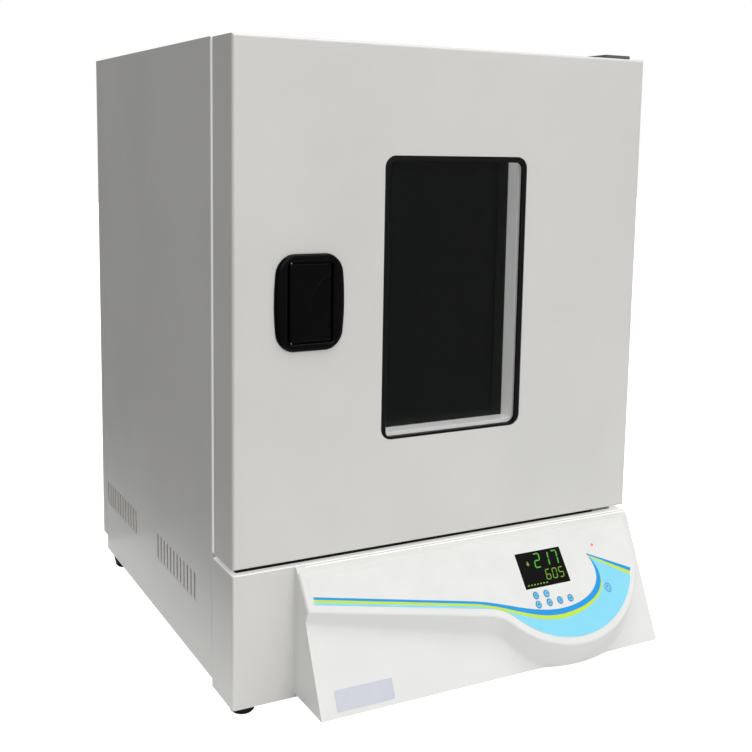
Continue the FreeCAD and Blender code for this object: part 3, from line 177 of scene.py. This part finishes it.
def glass(name, alpha, roughness, gloss):
    """A dark-tinted pane: what isn't let through is taken up, and its face mirrors a little."""
    made = finish(name, (6, 8, 8), roughness, Alpha=alpha, Specular_IOR_Level=gloss)
    bump(made, noise(made, 6, detail=1), 0.05, 0.0008)
    return made


def glowing(name, colour, strength):
    made = finish(name, colour, 0.4)
    lit(made, linear(colour), strength)
    vary_colour(made, noise(made, 300), shade(colour, -6), shade(colour, 6))
    return made


PAINT = powder_coat("paint_cabinet", (219, 218, 214))
DOOR_PAINT = powder_coat("paint_door", (219, 218, 214))
PLINTH_PAINT = powder_coat("paint_plinth", (220, 219, 215))
WHITE = moulded("white_moulding_finish", (233, 234, 231))
OVERLAY = film("overlay_white", (234, 235, 232), 0.36)
BLUE = film("print_blue", (26, 156, 230))
GREEN = film("print_green", (202, 232, 62))
PALE_BLUE = film("print_pale_blue", (140, 222, 248))
KEY_BLUE = film("print_key_blue", (120, 200, 236))
ICON = film("print_icon", (36, 134, 202))
PLATE = film("nameplate_finish", (208, 212, 221))
DISPLAY = finish("display_black", (9, 10, 8), 0.18, Specular_IOR_Level=0.15)
bump(DISPLAY, noise(DISPLAY, 300), 0.1, 0.00002)
DIGITS = glowing("digits_green", (80, 162, 48), 0.16)
DIGITS_DIM = glowing("digits_lime", (114, 154, 40), 0.1)
LAMP = glowing("lamp_red", (255, 96, 84), 0.9)
BLACK_GLOSS = moulded("black_gloss", (3, 3, 3), 0.22, 0.05, 0.09)
RUBBER = moulded("rubber", (12, 12, 13), 0.55, 0.5, 0.3)
# Black of the window seal; the same black paints the shade in the gap under the door.
SEAL_AND_GAP_SHADE_BLACK = moulded("seal_and_gap_shade_black", (5, 5, 6), 0.5, 0.3, 0.15)
# A white that glows of itself: painted highlight, for the bright line along the control face, the bead in
# the door gap and the top edge of the lower front panel.
HIGHLIGHT_WHITE_GLOWING = moulded("painted_highlight_white", (238, 237, 234), 0.35, 0.2)
lit(HIGHLIGHT_WHITE_GLOWING, (1, 1, 1), 0.3)
SILICONE = moulded("silicone_seal", (176, 178, 178), 0.6, 0.3)
# The window trim is whiter than its paint and glows a little: painted light on the reveal and sill in the
# shaded well behind the glass.
TRIM_PAINTED_LIGHT = powder_coat("window_trim_painted_light", (243, 244, 241), 0.2)
lit(TRIM_PAINTED_LIGHT, (1, 1, 1), 0.15)
STAINLESS = brushed("stainless_brushed", (176, 178, 178), 0.3)
WIRE = brushed("stainless_polished", (196, 198, 199), 0.2, (1, 20, 1))
ALLOY = brushed("fan_alloy_finish", (186, 188, 190), 0.38, (8, 1, 8))
ZINC = brushed("bracket_zinc", (120, 122, 124), 0.4, (1, 30, 1))
SCREW = brushed("screw_finish", (150, 151, 152), 0.35, (6, 6, 6))
HEATER = brushed("heater_sheath", (120, 112, 104), 0.45, (4, 4, 4))
SHEET = galvanised("galvanised_finish")
WOOL = moulded("mineral_wool", (196, 180, 132), 0.95, 1.0)
NYLON = moulded("bush_nylon", (222, 220, 210), 0.5)
MAGNET = brushed("magnet_finish", (72, 72, 74), 0.5, (2, 2, 2))
BOARD = moulded("circuit_board_finish", (28, 92, 52), 0.45, 0.4)
MOTOR = moulded("motor_case_finish", (62, 64, 68), 0.5, 0.4)
BLACK_PLASTIC = moulded("black_plastic_finish", (28, 28, 30), 0.48)
OUTER_PANE = glass("outer_pane", 0.07, 0.04, 0.8)
INNER_PANE = glass("inner_pane", 0.9, 0.05, 0.12)

SLOT_FINISHES = {
    "cabinet_paint": PAINT,
    "door_paint": DOOR_PAINT,
    "plinth_paint": PLINTH_PAINT,
    "galvanised_sheet": SHEET,
    "stainless": STAINLESS,
    "stainless_wire": WIRE,
    "insulation_wool": WOOL,
    "clear_glass": OUTER_PANE,
    "black_rubber": RUBBER,
    "silicone": SILICONE,
    "window_trim": TRIM_PAINTED_LIGHT,
    "black_handle": BLACK_GLOSS,
    "bracket_steel": ZINC,
    "bush_plastic": NYLON,
    "screw_steel": SCREW,
    "magnet": MAGNET,
    "white_moulding": WHITE,
    "printed_overlay": OVERLAY,
    "smoked_window": DISPLAY,
    "display_digits": DIGITS,
    "red_lamp": LAMP,
    "key_film": KEY_BLUE,
    "nameplate_film": PLATE,
    "circuit_board": BOARD,
    "motor_case": MOTOR,
    "fan_alloy": ALLOY,
    "heater_tube": HEATER,
    "black_plastic": BLACK_PLASTIC,
}
for node in NODES.values():
    for slot in node.material_slots:
        if slot.material.name in SLOT_FINISHES:
            slot.material = SLOT_FINISHES[slot.material.name]
NODES["inner_glass"].material_slots[0].material = INNER_PANE


# ---------------------------------------------------------------- mesh helpers

def piece(name, vertices, faces, material, body, slot, smooth=None, replaced=()):
    """A mesh in the row frame that rides on a body; edges flatter than smooth degrees are shaded smooth."""
    mesh = bpy.data.meshes.new(name)
    mesh.from_pydata([tuple(v) for v in vertices], [], faces)
    shape = bmesh.new()
    shape.from_mesh(mesh)
    bmesh.ops.remove_doubles(shape, verts=shape.verts, dist=1e-7)
    bmesh.ops.recalc_face_normals(shape, faces=shape.faces)
    shape.to_mesh(mesh)
    shape.free()
    if smooth:
        mesh.polygons.foreach_set("use_smooth", [True] * len(mesh.polygons))
        mesh.set_sharp_from_angle(angle=math.radians(smooth))
    mesh.materials.append(material)
    made = bpy.data.objects.new(name, mesh)
    bpy.context.scene.collection.objects.link(made)
    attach(made, body)
    if replaced:
        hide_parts(*replaced)
    return made


def loft(rings, close_first=False, close_last=False):
    """Vertices and faces of a skin over closed rings with the same number of points."""
    count = len(rings[0])
    vertices = [p for ring in rings for p in ring]
    faces = []
    for k in range(len(rings) - 1):
        for i in range(count):
            j = (i + 1) % count
            faces.append((k * count + i, k * count + j, (k + 1) * count + j, (k + 1) * count + i))
    if close_first:
        faces.append(tuple(range(count)))
    if close_last:
        faces.append(tuple(range((len(rings) - 1) * count, len(rings) * count)))
    return vertices, faces


def joined(parts):
    """One list of vertices and one of faces from several."""
    vertices, faces = [], []
    for part_vertices, part_faces in parts:
        start = len(vertices)
        vertices += part_vertices
        faces += [tuple(i + start for i in face) for face in part_faces]
    return vertices, faces


def prism(outline, low, high, place):
    """A solid over a flat outline between two heights; place turns (x, y, height) into a point."""
    return loft([[place(x, y, h) for x, y in outline] for h in (low, high)], True, True)


def rounded(half_wide, half_tall, radius, bulge=0.0, corner=9, side=7):
    """A rounded rectangle about the origin; bulge is how far its long sides bow out."""
    points = []
    flat_wide, flat_tall = (half_wide - radius, half_tall - radius)
    corners = [(1, 1, 0), (-1, 1, 90), (-1, -1, 180), (1, -1, 270)]
    for sx, sy, start in corners:
        for k in range(corner + 1):
            angle = math.radians(start + 90 * k / corner)
            x = sx * flat_wide + radius * math.cos(angle)
            points.append((x, sy * flat_tall + radius * math.sin(angle)))
        here = points[-1]
        nx, ny, _ = corners[(corners.index((sx, sy, start)) + 1) % 4]
        turn = math.radians(start + 90)
        there = (nx * flat_wide + radius * math.cos(turn), ny * flat_tall + radius * math.sin(turn))
        for k in range(1, side):
            points.append(tuple(a + (b - a) * k / side for a, b in zip(here, there)))
    return [(x - math.copysign(bulge, x) * (y / half_tall) ** 2 * abs(x) / half_wide, y) for x, y in points]


# ---------------------------------------------------------------- control panel

FACE_TILT = math.radians(52)
FACE_ORIGIN = Vector((0, -217.2, 142.5)) * MM
FACE_UP = Vector((0, math.cos(FACE_TILT), math.sin(FACE_TILT)))
FACE_OUT = Vector((0, -math.sin(FACE_TILT), math.cos(FACE_TILT)))
FACE_SLOPE = math.radians(11.5)  # fall of the face's lower edge and of the stripes
PRINT_LEVEL = 0.5  # top of the overlay film over the control face, mm
INK = 0.05


def on_face(x, down, height):
    """A point on the control face: X, distance down the slope and height over it, in mm."""
    return FACE_ORIGIN + Vector((x, 0, 0)) * MM - FACE_UP * down * MM + FACE_OUT * height * MM


def printed(name, outlines, material, slot="printed_overlay", body="cabinet", level=PRINT_LEVEL, ink=INK):
    """Ink on the control face, one thin solid for each outline."""
    solids = [prism(outline, level, level + ink, on_face) for outline in outlines]
    return piece(name, *joined(solids), material, body, slot)


def rim_line(inset, steps=40):
    """The control face's lower edge, from its left end round the disc to its right side, less an inset."""
    run = Vector((math.cos(FACE_SLOPE), math.sin(FACE_SLOPE)))
    outward = Vector((-math.sin(FACE_SLOPE), math.cos(FACE_SLOPE)))
    corner, disc = (Vector((-175, 38.5)), Vector((124.7, 18.5)))
    radius, shoulder = (107.7, 42)
    offset = corner + outward * shoulder - disc
    half = run.dot(offset)
    reach = -half - math.sqrt(half**2 - offset.dot(offset) + (radius + shoulder) ** 2)
    hub = corner + outward * shoulder + run * reach
    start = corner - outward * inset + run * (inset / run.x)
    line = [start]
    first = math.atan2(-outward.y, -outward.x)
    to_disc = (disc - hub).normalized()
    last = math.atan2(to_disc.y, to_disc.x)
    for k in range(steps // 3 + 1):
        angle = first + (last - first) * k / (steps // 3)
        line.append(hub + Vector((math.cos(angle), math.sin(angle))) * (shoulder + inset))
    begin = math.atan2(-to_disc.y, -to_disc.x)
    for k in range(1, steps + 1):
        angle = begin * (1 - k / steps)
        line.append(disc + Vector((math.cos(angle), math.sin(angle))) * (radius - inset))
    return [tuple(p) for p in line]


STRIPE_START = -166  # left end of the printed stripes
STRIPE_TIP = (164.1, 33.3)
GREEN_END = 57.6  # how far down the slope the green band runs out against the blue one
BEND_STEPS = 24


def bezier(points):
    """A smooth line from the first of four points to the last, drawn towards the two between."""
    line = []
    for k in range(BEND_STEPS + 1):
        t = k / BEND_STEPS
        weights = ((1 - t) ** 3, 3 * t * (1 - t) ** 2, 3 * t**2 * (1 - t), t**3)
        line.append(tuple(sum(w * p[axis] for w, p in zip(weights, points)) for axis in (0, 1)))
    return line


def swoosh_edge(start, low, end, lean, sweep, rise):
    """A printed edge that leaves the stripes' slope, is level at its lowest point and sweeps up to its end.

    It ends leaning from straight up by so many degrees. Sweep and rise are the shares of the
    way across and up over which it holds its direction.
    """
    leave, arrive = (0.4, 0.35)
    run = low[0] - start[0]
    climb = rise * (low[1] - end[1])
    lean = math.radians(lean)
    leaving = (start[0] + leave * run, start[1] + leave * run * math.tan(FACE_SLOPE))
    arriving = (low[0] - arrive * run, low[1])
    turning = (low[0] + sweep * (end[0] - low[0]), low[1])
    closing = (end[0] + climb * math.sin(lean), end[1] + climb * math.cos(lean))
    return bezier((start, leaving, arriving, low)) + bezier((low, turning, closing, end))[1:]


def art():
    # A glowing white line along the crease near the face's top edge: a painted highlight.
    crease_highlight = [(-166, -6.4), (236, -6.4), (236, -5.6), (-166, -5.6)]
    printed("overlay_crease_painted_highlight", [crease_highlight], HIGHLIGHT_WHITE_GLOWING)
    blue_top = swoosh_edge((3, 59.4), (110, 86), STRIPE_TIP, 24, 0.6, 0.8)
    blue_low = swoosh_edge((2, 62), (107, 92), STRIPE_TIP, 32, 0.6, 0.9)
    rising = range(BEND_STEPS, len(blue_low))
    meeting = min(rising, key=lambda k: abs(blue_low[k][1] - GREEN_END))
    green_low = swoosh_edge((2, 64.6), (108, 96.5), blue_low[meeting], 8, 0.4, 0.7)
    left = [(STRIPE_START, s) for s in (24.9, 27.5, 30.3)]
    printed("print_swoosh_blue", [[left[0], *blue_top, *reversed(blue_low[:-1]), left[1]]], BLUE)
    green_band = [left[1], *blue_low[: meeting + 1], *reversed(green_low[:-1]), left[2]]
    printed("print_swoosh_green", [green_band], GREEN)
    stripe = Vector((215.9, 58.6)) - Vector(STRIPE_TIP)

    def stripe_edge(low_left, low_right):
        start = Vector(STRIPE_TIP) + Vector((1.2 * low_left / 4, low_left))
        end = Vector(STRIPE_TIP) + stripe + Vector((-0.62 * low_right, low_right))
        return tuple(start), tuple(end)

    edges = [stripe_edge(0, 0), stripe_edge(1.9, 3.8), stripe_edge(4.0, 7.4)]
    printed("print_stripe_blue", [[edges[0][0], edges[0][1], edges[1][1], edges[1][0]]], BLUE)
    printed("print_stripe_green", [[edges[1][0], edges[1][1], edges[2][1], edges[2][0]]], GREEN)
    rim = rim_line(7.55)
    low_right = edges[2][1]
    start = rim[0]
    rim = [p for p in rim if p[0] > STRIPE_START and not (p[0] > 150 and p[1] < low_right[1])]
    rim.insert(0, (STRIPE_START, start[1] + (STRIPE_START - start[0]) * math.tan(FACE_SLOPE)))
    beyond_green = [p for p in blue_low[meeting + 1 :] if p[1] > edges[2][0][1]]
    upper = [left[2], *green_low, *beyond_green, edges[2][0], low_right]
    printed("print_field_pale", [[*upper, *reversed(rim)]], PALE_BLUE)


art()

SEGMENTS = {  # lit bars of each digit, from the top clockwise, the middle last
    "0": "abcdef", "1": "bc", "2": "abged", "3": "abgcd", "4": "fgbc",
    "5": "afgcd", "6": "afgedc", "7": "abc", "8": "abcdefg", "9": "gfabcd",
}


def digit(character, x, down, wide, tall, bar):
    """The lit bars of one seven-segment digit, leaning a little."""
    mid, low = (tall / 2, tall)
    ends = {
        "a": ((0, 0), (wide, 0)), "b": ((wide, 0), (wide, mid)), "c": ((wide, mid), (wide, low)),
        "d": ((0, low), (wide, low)), "e": ((0, mid), (0, low)), "f": ((0, 0), (0, mid)),
        "g": ((0, mid), (wide, mid)),
    }
    lean = 0.1
    outlines = []
    for segment in SEGMENTS[character]:
        a, b = (Vector(p) for p in ends[segment])
        along = (b - a).normalized()
        across = Vector((-along.y, along.x)) * bar / 2
        a, b = (a + along * bar * 0.12, b - along * bar * 0.12)
        tip = along * bar / 2
        corners = [a, a + tip + across, b - tip + across, b, b - tip - across, a + tip - across]
        outlines.append([(x + p.x + (tall - p.y) * lean, down + p.y) for p in corners])
    return outlines


def readout():
    level = 0.4
    top, low = ([], [])
    for k, character in enumerate("217"):
        top += digit(character, 94.5 + 11.6 * k, 23.5, 6.9, 15.0, 1.55)
    for k, character in enumerate("605"):
        low += digit(character, 103.8 + 8.6 * k, 42.5, 5.2, 10.6, 1.1)
    printed("readout_top", top, DIGITS, "display_digits", level=level)
    printed("readout_low", low, DIGITS_DIM, "display_digits", level=level)
    marks = [[(x, 55.4), (x + 2.2, 55.4), (x + 1.9, 56.8), (x - 0.3, 56.8)] for x in range(77, 103, 4)]
    drop = [(85.6, 30.0), (87.4, 33.4), (86.6, 35.2), (84.9, 35.2), (84.0, 33.4)]
    printed("readout_marks", [*marks, drop], DIGITS_DIM, "display_digits", level=level)


readout()

KEYS = ("key_menu", "key_timer", "key_down", "key_up", "key_set", "key_start", "key_power")


def key_centre(name):
    """The middle of a key in the frame: X and distance down the control face, in mm."""
    low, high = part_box(name)
    middle = (low + high) / 2
    return middle.x / MM, (FACE_ORIGIN - middle).dot(FACE_UP) / MM


def ellipse(centre, half_wide, half_tall, count=28, turn=0):
    angles = [2 * math.pi * (k + turn) / count for k in range(count)]
    return [(centre[0] + half_wide * math.cos(a), centre[1] + half_tall * math.sin(a)) for a in angles]


def ring_print(centre, outer, inner, low, high):
    """A flat ring between two ellipses on the control face."""
    rings = [
        [on_face(x, y, h) for x, y in ellipse(centre, *half)]
        for half, h in ((outer, low), (outer, high), (inner, high), (inner, low))
    ]
    return loft([*rings, rings[0]])


def bar(centre, a, b, wide):
    """The outline of a straight stroke between two points about a centre."""
    a, b = (Vector(a) + Vector(centre), Vector(b) + Vector(centre))
    across = (b - a).normalized()
    across = Vector((-across.y, across.x)) * wide / 2
    return [tuple(p) for p in (a + across, b + across, b - across, a - across)]


def key_tops():
    """A domed cap on each key, a printed ring round it and a plain symbol on it."""
    symbols = {
        "key_menu": lambda c: [bar(c, (-1.5, y), (1.5, y), 0.6) for y in (-1.2, 0, 1.2)],
        "key_timer": lambda c: [bar(c, (0, -1.7), (0, 0.3), 0.7), bar(c, (0, 0), (1.6, 0), 0.7)],
        "key_down": lambda c: [[(c[0] - 1.7, c[1] - 1), (c[0] + 1.7, c[1] - 1), (c[0], c[1] + 1.6)]],
        "key_up": lambda c: [[(c[0] - 1.7, c[1] + 1), (c[0], c[1] - 1.6), (c[0] + 1.7, c[1] + 1)]],
        "key_set": lambda c: [bar(c, (-1.6, 0), (1.6, 0), 0.8), bar(c, (0, -1.6), (0, 1.6), 0.8)],
        "key_start": lambda c: [[(c[0] - 1.1, c[1] - 1.7), (c[0] + 1.8, c[1]), (c[0] - 1.1, c[1] + 1.7)]],
        "key_power": lambda c: [bar(c, (0, -3.4), (0, -0.4), 1.0)],
    }
    for name in KEYS:
        centre = key_centre(name)
        power = name == "key_power"
        wide, tall = ((4.9, 6.15) if power else (3.4, 3.8))
        rings = [ellipse(centre, wide, tall)] * 2
        levels = [-2.0, 0.45]
        for share, level in ((0.97, 0.7), (0.88, 0.84), (0.6, 0.88)):
            rings.append(ellipse(centre, wide * share, tall * share))
            levels.append(level)
        skin = loft([[on_face(x, y, h) for x, y in ring] for ring, h in zip(rings, levels)], True, True)
        colour = PALE_BLUE if power else KEY_BLUE
        piece(name + "_cap", *skin, colour, name, "key_film", 40, (name,))
        level = 0.86
        strokes = [prism(outline, level - 0.1, level + 0.04, on_face) for outline in symbols[name](centre)]
        if power:
            outer, inner = ((wide * 0.86, tall * 0.86), (wide * 0.68, tall * 0.7))
            strokes.append(ring_print(centre, outer, inner, 0.7, 0.88))
            arc = ring_print((centre[0], centre[1] + 0.4), (2.4, 2.6), (1.7, 1.9), 0.7, 0.9)
            strokes.append(arc)
        else:
            outer, inner = ((wide * 0.98, tall * 0.98), (wide * 0.8, tall * 0.8))
            strokes.append(ring_print(centre, outer, inner, 0.5, 0.86))
        piece(name + "_symbol", *joined(strokes), ICON, name, "key_film", 40)


key_tops()


# ---------------------------------------------------------------- handle

HANDLE = (-161.5, 411.0)  # X and Z of the handle's middle
DOOR_FRONT = -208.2


def handle():
    """A bowed rounded surround with a well, and the pull flap in it."""
    profile = [  # share of the way in from the outer edge, height over the door
        (0.0, 0.0), (0.01, 1.0), (0.05, 2.0), (0.12, 2.9), (0.22, 3.5), (0.36, 3.9), (0.52, 4.0),
        (0.70, 3.95), (0.84, 3.7), (0.93, 3.2), (0.98, 2.5), (1.0, 1.6), (1.0, -21.0),
    ]

    def ring(share, height):
        outline = rounded(37 - 13.5 * share, 47.5 - 8 * share, 18.5 - 15.9 * share, 3.8 * (1 - share))
        return [Vector((HANDLE[0] + x, DOOR_FRONT - height, HANDLE[1] + z)) * MM for x, z in outline]

    rings = [ring(share, height) for share, height in profile]
    skin = loft(rings, True, True)
    piece("handle_surround", *skin, BLACK_GLOSS, "door", "black_handle", 50, ("handle_bezel",))
    front, back = (DOOR_FRONT - 3.5, DOOR_FRONT + 1.5)
    outline = []
    half_wide, half_tall = (22.0, 38.0)
    corner = 2
    scoop_middle, scoop_radius = (28.5, 26.5)
    reach = math.asin(math.sqrt(scoop_radius**2 - (scoop_middle - half_wide) ** 2) / scoop_radius)
    for sx, sy, start in ((-1, 1, 90), (-1, -1, 180), (1, -1, 270)):
        for k in range(5):
            angle = math.radians(start + 90 * k / 4)
            x = sx * (half_wide - corner) + corner * math.cos(angle)
            outline.append((x, sy * (half_tall - corner) + corner * math.sin(angle)))
    for k in range(25):
        angle = math.pi + reach - 2 * reach * k / 24
        outline.append((scoop_middle + scoop_radius * math.cos(angle), scoop_radius * math.sin(angle)))
    for k in range(5):
        angle = math.radians(90 * k / 4)
        x = half_wide - corner + corner * math.cos(angle)
        outline.append((x, half_tall - corner + corner * math.sin(angle)))
    count = len(outline)

    def inset(amount):
        """The outline drawn in by an amount along its corners' normals."""
        drawn = []
        for k in range(count):
            before, here, after = (Vector(outline[(k + d) % count]) for d in (-1, 0, 1))
            tangent = ((here - before).normalized() + (after - here).normalized()).normalized()
            drawn.append(here + Vector((-tangent.y, tangent.x)) * amount)
        return drawn

    levels = [
        (0, back), (0, front + 1.4), (0.2, front + 0.75),
        (0.6, front + 0.28), (1.3, front + 0.04), (2.2, front),
    ]
    flap_rings = [
        [Vector((HANDLE[0] + p.x, y, HANDLE[1] + p.y)) * MM for p in inset(amount)] for amount, y in levels
    ]
    skin = loft(flap_rings, True, True)
    piece("handle_pull", *skin, BLACK_GLOSS, "handle_flap", "black_handle", 50, ("handle_flap",))


handle()


# ---------------------------------------------------------------- window

def window_seal():
    """The black ring round the outer pane; its lower limb is slimmer, so the sill shows."""
    low, high = ((-81, 265), (88, 553))
    middle = ((low[0] + high[0]) / 2, (low[1] + high[1]) / 2)
    half = ((high[0] - low[0]) / 2, (high[1] - low[1]) / 2)
    side, sill = (6.0, 2.2)

    def ring(outline, shift, y):
        return [Vector((middle[0] + x, y, middle[1] + shift + z)) * MM for x, z in outline]

    inner_half = (half[0] - side, half[1] - (side + sill) / 2)
    shift = -(side - sill) / 2
    front, glass_front, back = (DOOR_FRONT + 0.4, DOOR_FRONT + 2.5, DOOR_FRONT + 7.5)
    rings = [
        ring(rounded(half[0] - 0.1, half[1] - 0.1, 12), 0, back),
        ring(rounded(half[0] - 0.1, half[1] - 0.1, 12), 0, front + 0.5),
        ring(rounded(half[0] - 0.6, half[1] - 0.6, 11.5), 0, front),
        ring(rounded(inner_half[0] + 0.8, inner_half[1] + 0.3, 7.2), shift, front),
        ring(rounded(inner_half[0], inner_half[1], 6.6), shift, front + 0.8),
        ring(rounded(inner_half[0], inner_half[1], 6.6), shift, glass_front - 0.02),
        ring(rounded(inner_half[0] + 1.5, inner_half[1] + 1.2, 7.2), shift, glass_front - 0.02),
        ring(rounded(half[0] - 2, half[1] - 2, 10), 0, glass_front - 0.02),
        ring(rounded(half[0] - 2, half[1] - 2, 10), 0, back),
    ]
    skin = loft([*rings, rings[0]])
    piece("window_seal_ring", *skin, SEAL_AND_GAP_SHADE_BLACK, "door", "black_rubber", 50, ("window_gasket",))


window_seal()


# ---------------------------------------------------------------- side panels

LOUVRE_LOW, LOUVRE_HIGH = (81.0, 112.0)
LOUVRE_STARTS = [first - 5.5 + 12 * k for first in (-93.2, 131.8) for k in range(12)]
LOUVRE_WIDTH, LOUVRE_DEPTH = (8.5, 1.15)


def side_sheet(name, side, node):
    """A folded side sheet with louvres pressed inwards: ramps that deepen backwards, open at the rear."""
    low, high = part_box(node)
    bottom, top = (low.z / MM, high.z / MM)
    front, back = (low.y / MM, high.y / MM)
    outer, flange, fold = (240.0, 12.0, 2.0)
    vertices, faces = [], []

    def quad(*corners):
        start = len(vertices)
        vertices.extend(Vector((side * x, y, z)) * MM for x, y, z in corners)
        faces.append(tuple(range(start, start + len(corners))))

    def wall(y0, y1, z0, z1):
        quad((outer, y0, z0), (outer, y1, z0), (outer, y1, z1), (outer, y0, z1))

    edges = [front + fold]
    for start in LOUVRE_STARTS:
        edges += [start, start + LOUVRE_WIDTH]
    edges.append(back - fold)
    for y0, y1 in zip(edges, edges[1:]):
        wall(y0, y1, bottom, LOUVRE_LOW)
        wall(y0, y1, LOUVRE_HIGH, top)
        if y0 not in LOUVRE_STARTS:
            wall(y0, y1, LOUVRE_LOW, LOUVRE_HIGH)
            continue
        deep = outer - LOUVRE_DEPTH
        soft = 2.0
        upper, lower = (LOUVRE_HIGH, LOUVRE_LOW)
        quad((outer, y0, lower), (outer, y0, upper), (deep, y1, upper - soft), (deep, y1, lower + soft))
        quad((outer, y0, lower), (deep, y1, lower + soft), (outer, y1, lower))
        quad((outer, y0, upper), (outer, y1, upper), (deep, y1, upper - soft))
    arc = [math.radians(90 * k / 9) for k in range(10)]
    for sign, edge in ((1, front), (-1, back)):
        fold_line = [
            (outer - fold + fold * math.cos(a), edge + sign * (fold - fold * math.sin(a))) for a in arc
        ]
        fold_line.append((outer - flange, edge))
        for (x0, y0), (x1, y1) in zip(fold_line, fold_line[1:]):
            quad((x0, y0, bottom), (x1, y1, bottom), (x1, y1, top), (x0, y0, top))
    made = piece(name, vertices, faces, PAINT, "cabinet", "cabinet_paint", None, (node,))
    thicken = made.modifiers.new("gauge", "SOLIDIFY")
    thicken.thickness = 0.8 * MM
    thicken.offset = -1


for side_name, side in (("left", -1), ("right", 1)):
    side_sheet(f"side_sheet_{side_name}", side, f"side_panel_{side_name}")


# ---------------------------------------------------------------- painted highlight pieces and a painted shade strip in the door gap

def edge_bead():
    """A pale half-round bead round the cabinet's front edge, in the gap behind the door. It glows: a
    painted highlight that makes the seam read as a bright line.
    """
    face, proud, half = (-148.2, 4.6, 2.2)
    arc = [math.radians(-90 + 180 * k / 8) for k in range(9)]
    rings = []
    for angle in arc:
        reach = 237.2 + half * math.sin(angle)
        y = face - proud * math.cos(angle)
        low, high = (154.5 - half * math.sin(angle), 658.4 + half * math.sin(angle))
        corners = ((-reach, low), (reach, low), (reach, high), (-reach, high))
        rings.append([Vector((x, y, z)) * MM for x, z in corners])
    piece("frame_edge_painted_highlight_bead", *loft([*rings, rings[0]]), HIGHLIGHT_WHITE_GLOWING, "cabinet", "silicone", 60)


edge_bead()


def plinth_strip():
    """A pale capping on the lower front panel that glows, a painted highlight along its top edge, and, set
    back on it, a black strip that paints the shade in the gap under the door.
    """
    # The capping glows: painted highlight on the panel's top edge.
    capping = rounded(239.2, 29.4, 4)
    rings = [[Vector((x, -178.4 + y, z)) * MM for x, y in capping] for z in (147.02, 147.7)]
    piece("plinth_top_painted_highlight", *loft(rings, True, True), HIGHLIGHT_WHITE_GLOWING, "cabinet", "cabinet_paint")
    # A black strip set back on the panel's top: painted shade for the dark gap under the door.
    outline = rounded(218, 24.5, 2)
    rings = [[Vector((x - 16, -175.5 + y, z)) * MM for x, y in outline] for z in (147.75, 151.6)]
    piece("plinth_gap_shade_strip", *loft(rings, True, True), SEAL_AND_GAP_SHADE_BLACK, "cabinet", "black_rubber")


plinth_strip()


# ---------------------------------------------------------------- stage

def stage_plane(name, low, high, level, material):
    mesh = bpy.data.meshes.new(name)
    corners = ((low[0], low[1]), (high[0], low[1]), (high[0], high[1]), (low[0], high[1]))
    mesh.from_pydata([(x, y, level) for x, y in corners], [], [(0, 1, 2, 3)])
    mesh.materials.append(material)
    made = bpy.data.objects.new(name, mesh)
    bpy.context.scene.collection.objects.link(made)
    return made


FLOOR = finish("floor_white", (244, 244, 244), 0.9, Specular_IOR_Level=0.0)
lit(FLOOR, (1, 1, 1), 1.0)
floor = stage_plane("floor", (-9, -9), (9, 9), -0.0004, FLOOR)
floor.visible_diffuse = False
floor.visible_glossy = False
TABLE = finish("table_white", (226, 226, 226), 0.9, Specular_IOR_Level=0.0)
table = stage_plane("table", (-0.35, -1.2), (1.6, 0.98), -0.0002, TABLE)
table.visible_camera = False
table.visible_shadow = False
BOUNCE = finish("bench_bounce", (200, 200, 200), 0.9)
lit(BOUNCE, (1, 1, 1), 0.5)
bounce = stage_plane("bounce", (-0.33, -0.5), (-0.245, 0.35), 0.0004, BOUNCE)
bounce.visible_camera = False
bounce.visible_shadow = False


def softbox(name, location, target, size, power, colour=(1, 1, 1)):
    light = bpy.data.lights.new(name, "AREA")
    light.shape = "RECTANGLE"
    light.size, light.size_y = size
    light.energy = power
    light.color = colour
    made = bpy.data.objects.new(name, light)
    made.location = location
    made.rotation_euler = (Vector(target) - Vector(location)).to_track_quat("-Z", "Y").to_euler()
    bpy.context.scene.collection.objects.link(made)
    return made


softbox("key", (-0.1, -2.9, 1.35), (0, 0, 0.35), (1.4, 1.4), 21)
softbox("overhead", (0.1, -0.5, 2.6), (0, 0, 0), (1.8, 1.8), 33)

world = bpy.data.worlds.new("studio")
bpy.context.scene.world = world
world.use_nodes = True
tree = world.node_tree
background = tree.nodes["Background"]
place = tree.nodes.new("ShaderNodeTexCoord")
facing = tree.nodes.new("ShaderNodeVectorMath")
facing.operation = "DOT_PRODUCT"
facing.inputs[1].default_value = Vector((0.45, -0.35, 0.82)).normalized()
ramp = tree.nodes.new("ShaderNodeMapRange")
ramp.interpolation_type = "SMOOTHSTEP"
ramp.inputs["From Min"].default_value = -0.7
ramp.inputs["From Max"].default_value = 0.9
ramp.inputs["To Min"].default_value = 0.255
ramp.inputs["To Max"].default_value = 0.55
path = tree.nodes.new("ShaderNodeLightPath")
seen = tree.nodes.new("ShaderNodeMix")
seen.data_type = "FLOAT"
seen.inputs["B"].default_value = 1.0
tree.links.new(place.outputs["Generated"], facing.inputs[0])
tree.links.new(facing.outputs["Value"], ramp.inputs["Value"])
tree.links.new(path.outputs["Is Camera Ray"], seen.inputs["Factor"])
tree.links.new(ramp.outputs["Result"], seen.inputs["A"])
tree.links.new(seen.outputs["Result"], background.inputs["Strength"])
background.inputs["Color"].default_value = (1, 1, 1, 1)

CAMERA_PLACE = (-0.60435, -1.19691, 0.56408)
camera_data = bpy.data.cameras.new("camera")
camera_data.lens = 54.12
camera_data.sensor_width = 36
camera_data.shift_x = -0.0319
camera_data.shift_y = -0.1011
camera_data.clip_start = 0.02
camera = bpy.data.objects.new("camera", camera_data)
bpy.context.scene.collection.objects.link(camera)
right = Vector((0.87781, -0.47862, 0.01907))
up = Vector((0.04880, 0.12897, 0.99045))
turn = Matrix((right, up, right.cross(up))).transposed().to_4x4()
camera.matrix_world = Matrix.Translation(CAMERA_PLACE) @ turn
bpy.context.scene.camera = camera
bpy.context.scene.view_settings.view_transform = "Standard"
